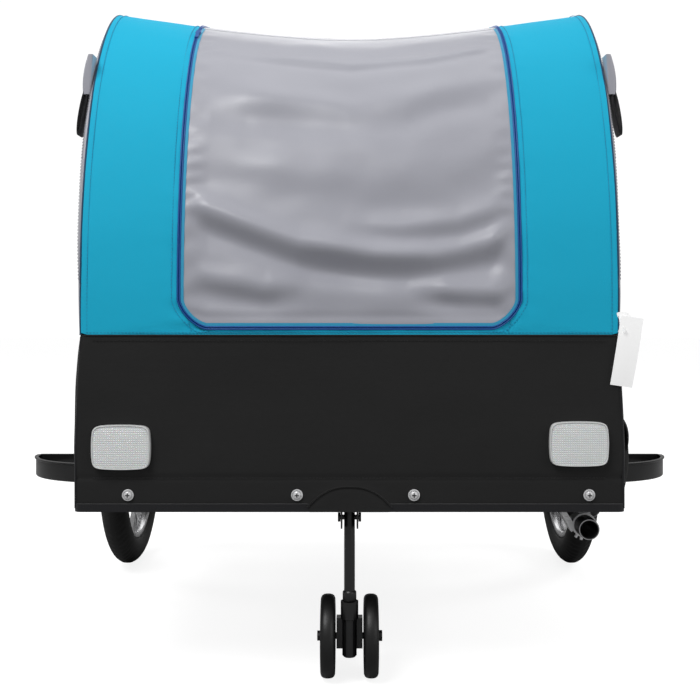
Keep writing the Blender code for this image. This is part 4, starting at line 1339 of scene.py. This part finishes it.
def make_handle():
    along = unit(HANDLE_TOP - HANDLE_FOOT)
    spots = [(HANDLE_FOOT + along * step, HANDLE_HALF) for step in (-0.01, 0.1, 0.3)]
    for turn in np.linspace(0, pi / 2, 16):
        down, inwards = (HANDLE_CORNER * (1 - value) for value in (sin(turn), cos(turn)))
        spots.append((HANDLE_TOP - along * down, HANDLE_HALF - inwards))
    line = [at(x, *point) for point, x in spots] + [at(-x, *point) for point, x in reversed(spots)]
    pipe("handle_tube", line, 0.0124, "handle", "push_handle", up=np.cross((1, 0, 0), (0, *along)))
    centre = at(0, *middle("handle_grip")[1:])
    lathe("grip_foam", GRIP, centre, (1, 0, 0), FOAM, "handle", 48, node="handle_grip")


# Seat


CHANNELS = (0.0, -0.130, 0.130)
CHANNEL_HALF, CHANNEL_DEPTH = 0.0045, 0.0032


def spots_of(obj, field="co"):
    return np.array([getattr(vertex, field) for vertex in obj.data.vertices])


def move(obj, spots):
    obj.data.vertices.foreach_set("co", spots.astype(np.float32).ravel())
    obj.data.update()


def cushion(name, outline, half, body, node, cap):
    """Padded cloth: a rounded block, puffed by a short simulation, drawn in along its channels."""
    shape = bmesh.new()
    rings = []
    for x in np.linspace(-half, half, 12):
        rings.append([shape.verts.new(tuple(at(x, y, z))) for y, z in outline])
    for first, second in zip(rings, rings[1:]):
        for index in range(len(outline)):
            after = (index + 1) % len(outline)
            shape.faces.new((first[index], first[after], second[after], second[index]))
    shape.faces.new(rings[0])
    shape.faces.new(rings[-1])
    bmesh.ops.recalc_face_normals(shape, faces=shape.faces)
    mesh = bpy.data.meshes.new(name)
    shape.to_mesh(mesh)
    shape.free()
    obj = add(name, mesh)
    bpy.context.view_layer.objects.active = obj
    obj.select_set(True)
    remesh = obj.modifiers.new("remesh", "REMESH")
    remesh.mode = "VOXEL"
    remesh.voxel_size = 0.0055
    bake(obj)
    puff(obj, cap)
    smooth = obj.modifiers.new("smooth", "SMOOTH")
    smooth.iterations = 6
    finer = obj.modifiers.new("finer", "SUBSURF")
    finer.levels = finer.render_levels = 1
    bake(obj)
    spots, normals = spots_of(obj), spots_of(obj, "normal")
    pull = sum(np.exp(-(((spots[:, 0] - x) / CHANNEL_HALF) ** 2)) for x in CHANNELS)
    ripple = np.array([wobble(spot, 26, 2.2) for spot in spots])
    lift = 0.0009 * ripple - CHANNEL_DEPTH * np.minimum(pull, 1.0)
    move(obj, spots + normals * lift[:, None])
    obj.data.materials.clear()
    obj.data.materials.append(GREY_SOFT)
    obj.data.shade_smooth()
    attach(obj, body)
    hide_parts(node)


def bake(obj):
    """The evaluated mesh becomes the object's own, and its modifiers go."""
    graph = bpy.context.evaluated_depsgraph_get()
    graph.update()
    made = bpy.data.meshes.new_from_object(obj.evaluated_get(graph))
    obj.modifiers.clear()
    obj.data = made


def puff(obj, cap):
    """Cloth under pressure, with no point moving further than cap."""
    rest = spots_of(obj)
    cloth = obj.modifiers.new("cloth", "CLOTH")
    settings = cloth.settings
    settings.use_pressure = True
    settings.uniform_pressure_force = 4.0
    settings.effector_weights.gravity = 0.0
    settings.quality = 4
    cloth.collision_settings.use_collision = False
    for number in range(1, 21):
        bpy.context.scene.frame_set(number)
    bake(obj)
    moved = spots_of(obj) - rest
    size = np.linalg.norm(moved, axis=1)
    scale = np.minimum(1.0, cap / np.maximum(size, 1e-9))
    move(obj, rest + moved * scale[:, None])
    bpy.context.scene.frame_set(1)


# The seat back: its foot as y and z, and its own up and out directions.
BACK_LEAN = radians(11)
BACK_FOOT = np.array([0.5700, 0.3350])
BACK_UP = np.array([sin(BACK_LEAN), cos(BACK_LEAN)])
BACK_OUT = np.array([cos(BACK_LEAN), -sin(BACK_LEAN)])
SEAT_OUTLINE = [(0.306, 0.256), (0.300, 0.298), (0.308, 0.306), (0.420, 0.302), (0.536, 0.292)]
SEAT_OUTLINE += [(0.538, 0.256)]
BACK_OUTLINE = [(0.014, -0.005), (0.120, -0.006), (0.230, -0.006), (0.334, -0.005), (0.334, 0.005)]
BACK_OUTLINE += [(0.230, 0.006), (0.014, 0.005)]


def make_seat():
    cushion("seat_pad", SEAT_OUTLINE, 0.250, "base", "seat_base", 0.008)
    outline = [tuple(BACK_FOOT + BACK_UP * v + BACK_OUT * u) for v, u in BACK_OUTLINE]
    cushion("back_pad", outline, 0.252, "seat_rest", "seat_back", 0.005)
    for sign, name in SIDES[::-1]:
        make_harness(sign * CHANNELS[2], name)


def make_harness(centre, name):
    """Two shoulder straps with pads, a waist strap and a buckle."""
    web = strip(0.0125, 0.0007, 0.0004)
    pad_corners = mm((-19, -1.2), (19, -1.2), (19, 2.2), (-19, 2.2))
    normal = np.array([0.0, -BACK_OUT[0], -BACK_OUT[1]])

    def spot(x, v, lift):
        return at(centre + x, *(BACK_FOOT + BACK_UP * v - BACK_OUT * lift))

    first = None
    stops = ((1.0, 312, 10.5), (1.0, 240, 11.8), (0.85, 150, 12.2), (0.5, 100, 12.4))
    stops += ((0.12, 72, 12.8),)
    for offset, label in ((-0.0575, "inner"), (0.0575, "outer")):
        line = [spot(offset * scale, v / 1000, lift / 1000) for scale, v, lift in stops]
        own = f"{name}_{label}"
        strap = sweep(f"harness_{own}", smooth_path(line), web, WEB, "seat_rest", up=normal)
        first = first or strap
        pad = [spot(offset, v, 0.0124) for v in np.linspace(0.19, 0.29, 10)]
        outline = rounded(pad_corners, 0.0014, 4)
        sweep(f"shoulder_pad_{own}", pad, outline, BLACK, "seat_rest", up=normal)
    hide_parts(f"harness_{name}")
    line = [spot(x, 0.066, 0.0118) for x in np.linspace(-0.068, 0.068, 16)]
    sweep(f"waist_strap_{name}", line, web, WEB, "seat_rest", up=normal)
    outline = rounded(mm((-20, -14), (20, -14), (16, 16), (-16, 16)), 0.006, 5)
    layers = ((0.92, 0.0112), (1.0, 0.013), (1.0, 0.0152), (0.86, 0.017))
    rings = [[spot(u * k, 0.07 + v * k, lift) for u, v in outline] for k, lift in layers]
    ring_skin(f"buckle_{name}", rings, PLASTIC, "seat_rest")


# Kept CAD nodes


KEPT = {
    "castor_bracket": PAINT_AND_RECESS_SHADE,
    "castor_fork": PLASTIC,
    "castor_pivot_bolt": PAINT_AND_RECESS_SHADE,
    "castor_axle": PAINT_AND_RECESS_SHADE,
    "tow_socket_bracket": CHROME,
    "tow_pin": STEEL,
    "left_handle_bracket": PAINT_AND_RECESS_SHADE,
    "right_handle_bracket": PAINT_AND_RECESS_SHADE,
    "left_stub_axle": STEEL,
    "right_stub_axle": STEEL,
}


def dress_kept_nodes():
    for name, look in KEPT.items():
        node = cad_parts[name]
        node.data.materials.clear()
        node.data.materials.append(look)


# Studio


# Each lamp's place, size and power.
LAMPS = {
    "key": ((-1.2, -2.2, 3.0), 1.4, 57.0),
    "fill": ((2.2, -2.2, 1.4), 2.0, 13.0),
    "top": ((0.2, -0.1, 3.2), 1.8, 12.0),
    "back": ((0.0, 3.0, 2.2), 2.0, 24.0),
    "left": ((3.0, 0.8, 2.4), 1.2, 30.0),
    "right": ((-3.0, 0.8, 2.4), 1.2, 22.0),
}
LAMP_TARGET = Vector((0, 0, 0.45))
FLOOR_HALF = 12.0
FLOOR_GLOW = 0.86  # seen by the camera only, so that it lights nothing
WORLD_LIGHT, WORLD_SEEN = 0.33, 1.05
CAMERA_BACK, CAMERA_HEIGHT = -1.338, 0.461


def make_floor():
    mesh = bpy.data.meshes.new("studio_floor")
    size = FLOOR_HALF
    corners = [(-size, -size, 0), (size, -size, 0), (size, size, 0), (-size, size, 0)]
    mesh.from_pydata(corners, [], [(0, 1, 2, 3)])
    floor = add("studio_floor", mesh)
    look = Look("pale_floor", (0.35, 0.35, 0.35), 0.9)
    look.tint(look.noise(2, 2), 0.99, 1.01)
    seen = look.node("ShaderNodeLightPath").outputs["Is Camera Ray"]
    glow = look.math("MULTIPLY", seen, FLOOR_GLOW)
    look.set({"Emission Color": (1, 1, 1, 1), "Emission Strength": glow})
    mesh.materials.append(look.material)


def make_world():
    world = bpy.data.worlds.new("studio")
    world.use_nodes = True
    tree = world.node_tree
    seen = new_node(tree, "ShaderNodeLightPath").outputs["Is Camera Ray"]
    values = {"Value": seen, "To Min": WORLD_LIGHT, "To Max": WORLD_SEEN}
    level = new_node(tree, "ShaderNodeMapRange", values).outputs[0]
    for key, value in (("Color", (1, 1, 1, 1)), ("Strength", level)):
        feed(tree, tree.nodes["Background"].inputs[key], value)
    bpy.context.scene.world = world


def make_studio():
    make_floor()
    make_world()
    for name, (place, size, power) in LAMPS.items():
        light = bpy.data.lights.new(name, "AREA")
        light.size = size
        light.energy = power
        lamp = add(name, light)
        lamp.location = place
        lamp.rotation_euler = (LAMP_TARGET - Vector(place)).to_track_quat("-Z", "Y").to_euler()
    lens = bpy.data.cameras.new("camera")
    lens.lens = 58.06
    lens.sensor_width = 36
    lens.shift_x = 0.0007
    lens.shift_y = -0.0714
    camera = add("camera", lens)
    camera.location = tuple(at(0, CAMERA_BACK, CAMERA_HEIGHT))
    camera.rotation_euler = (radians(90), 0, 0)
    bpy.context.scene.camera = camera
    bpy.context.scene.view_settings.view_transform = "Standard"


def main():
    for make in (make_blue_cover, make_flap, make_roof, make_rear, make_sides):
        make()
    make_tub()
    make_pocket()
    for side in ("left", "right"):
        make_reflector(side)
        make_guard(side)
        make_wheel(side)
    for number in range(1, 5):
        make_screw(f"front_screw_{number}")
    for make in (make_side_loops, make_tag, make_frame_tubes, make_tow, make_lanyard, make_castor):
        make()
    for make in (make_bow_tubes, make_handle, make_seat, dress_kept_nodes, make_studio):
        make()


main()
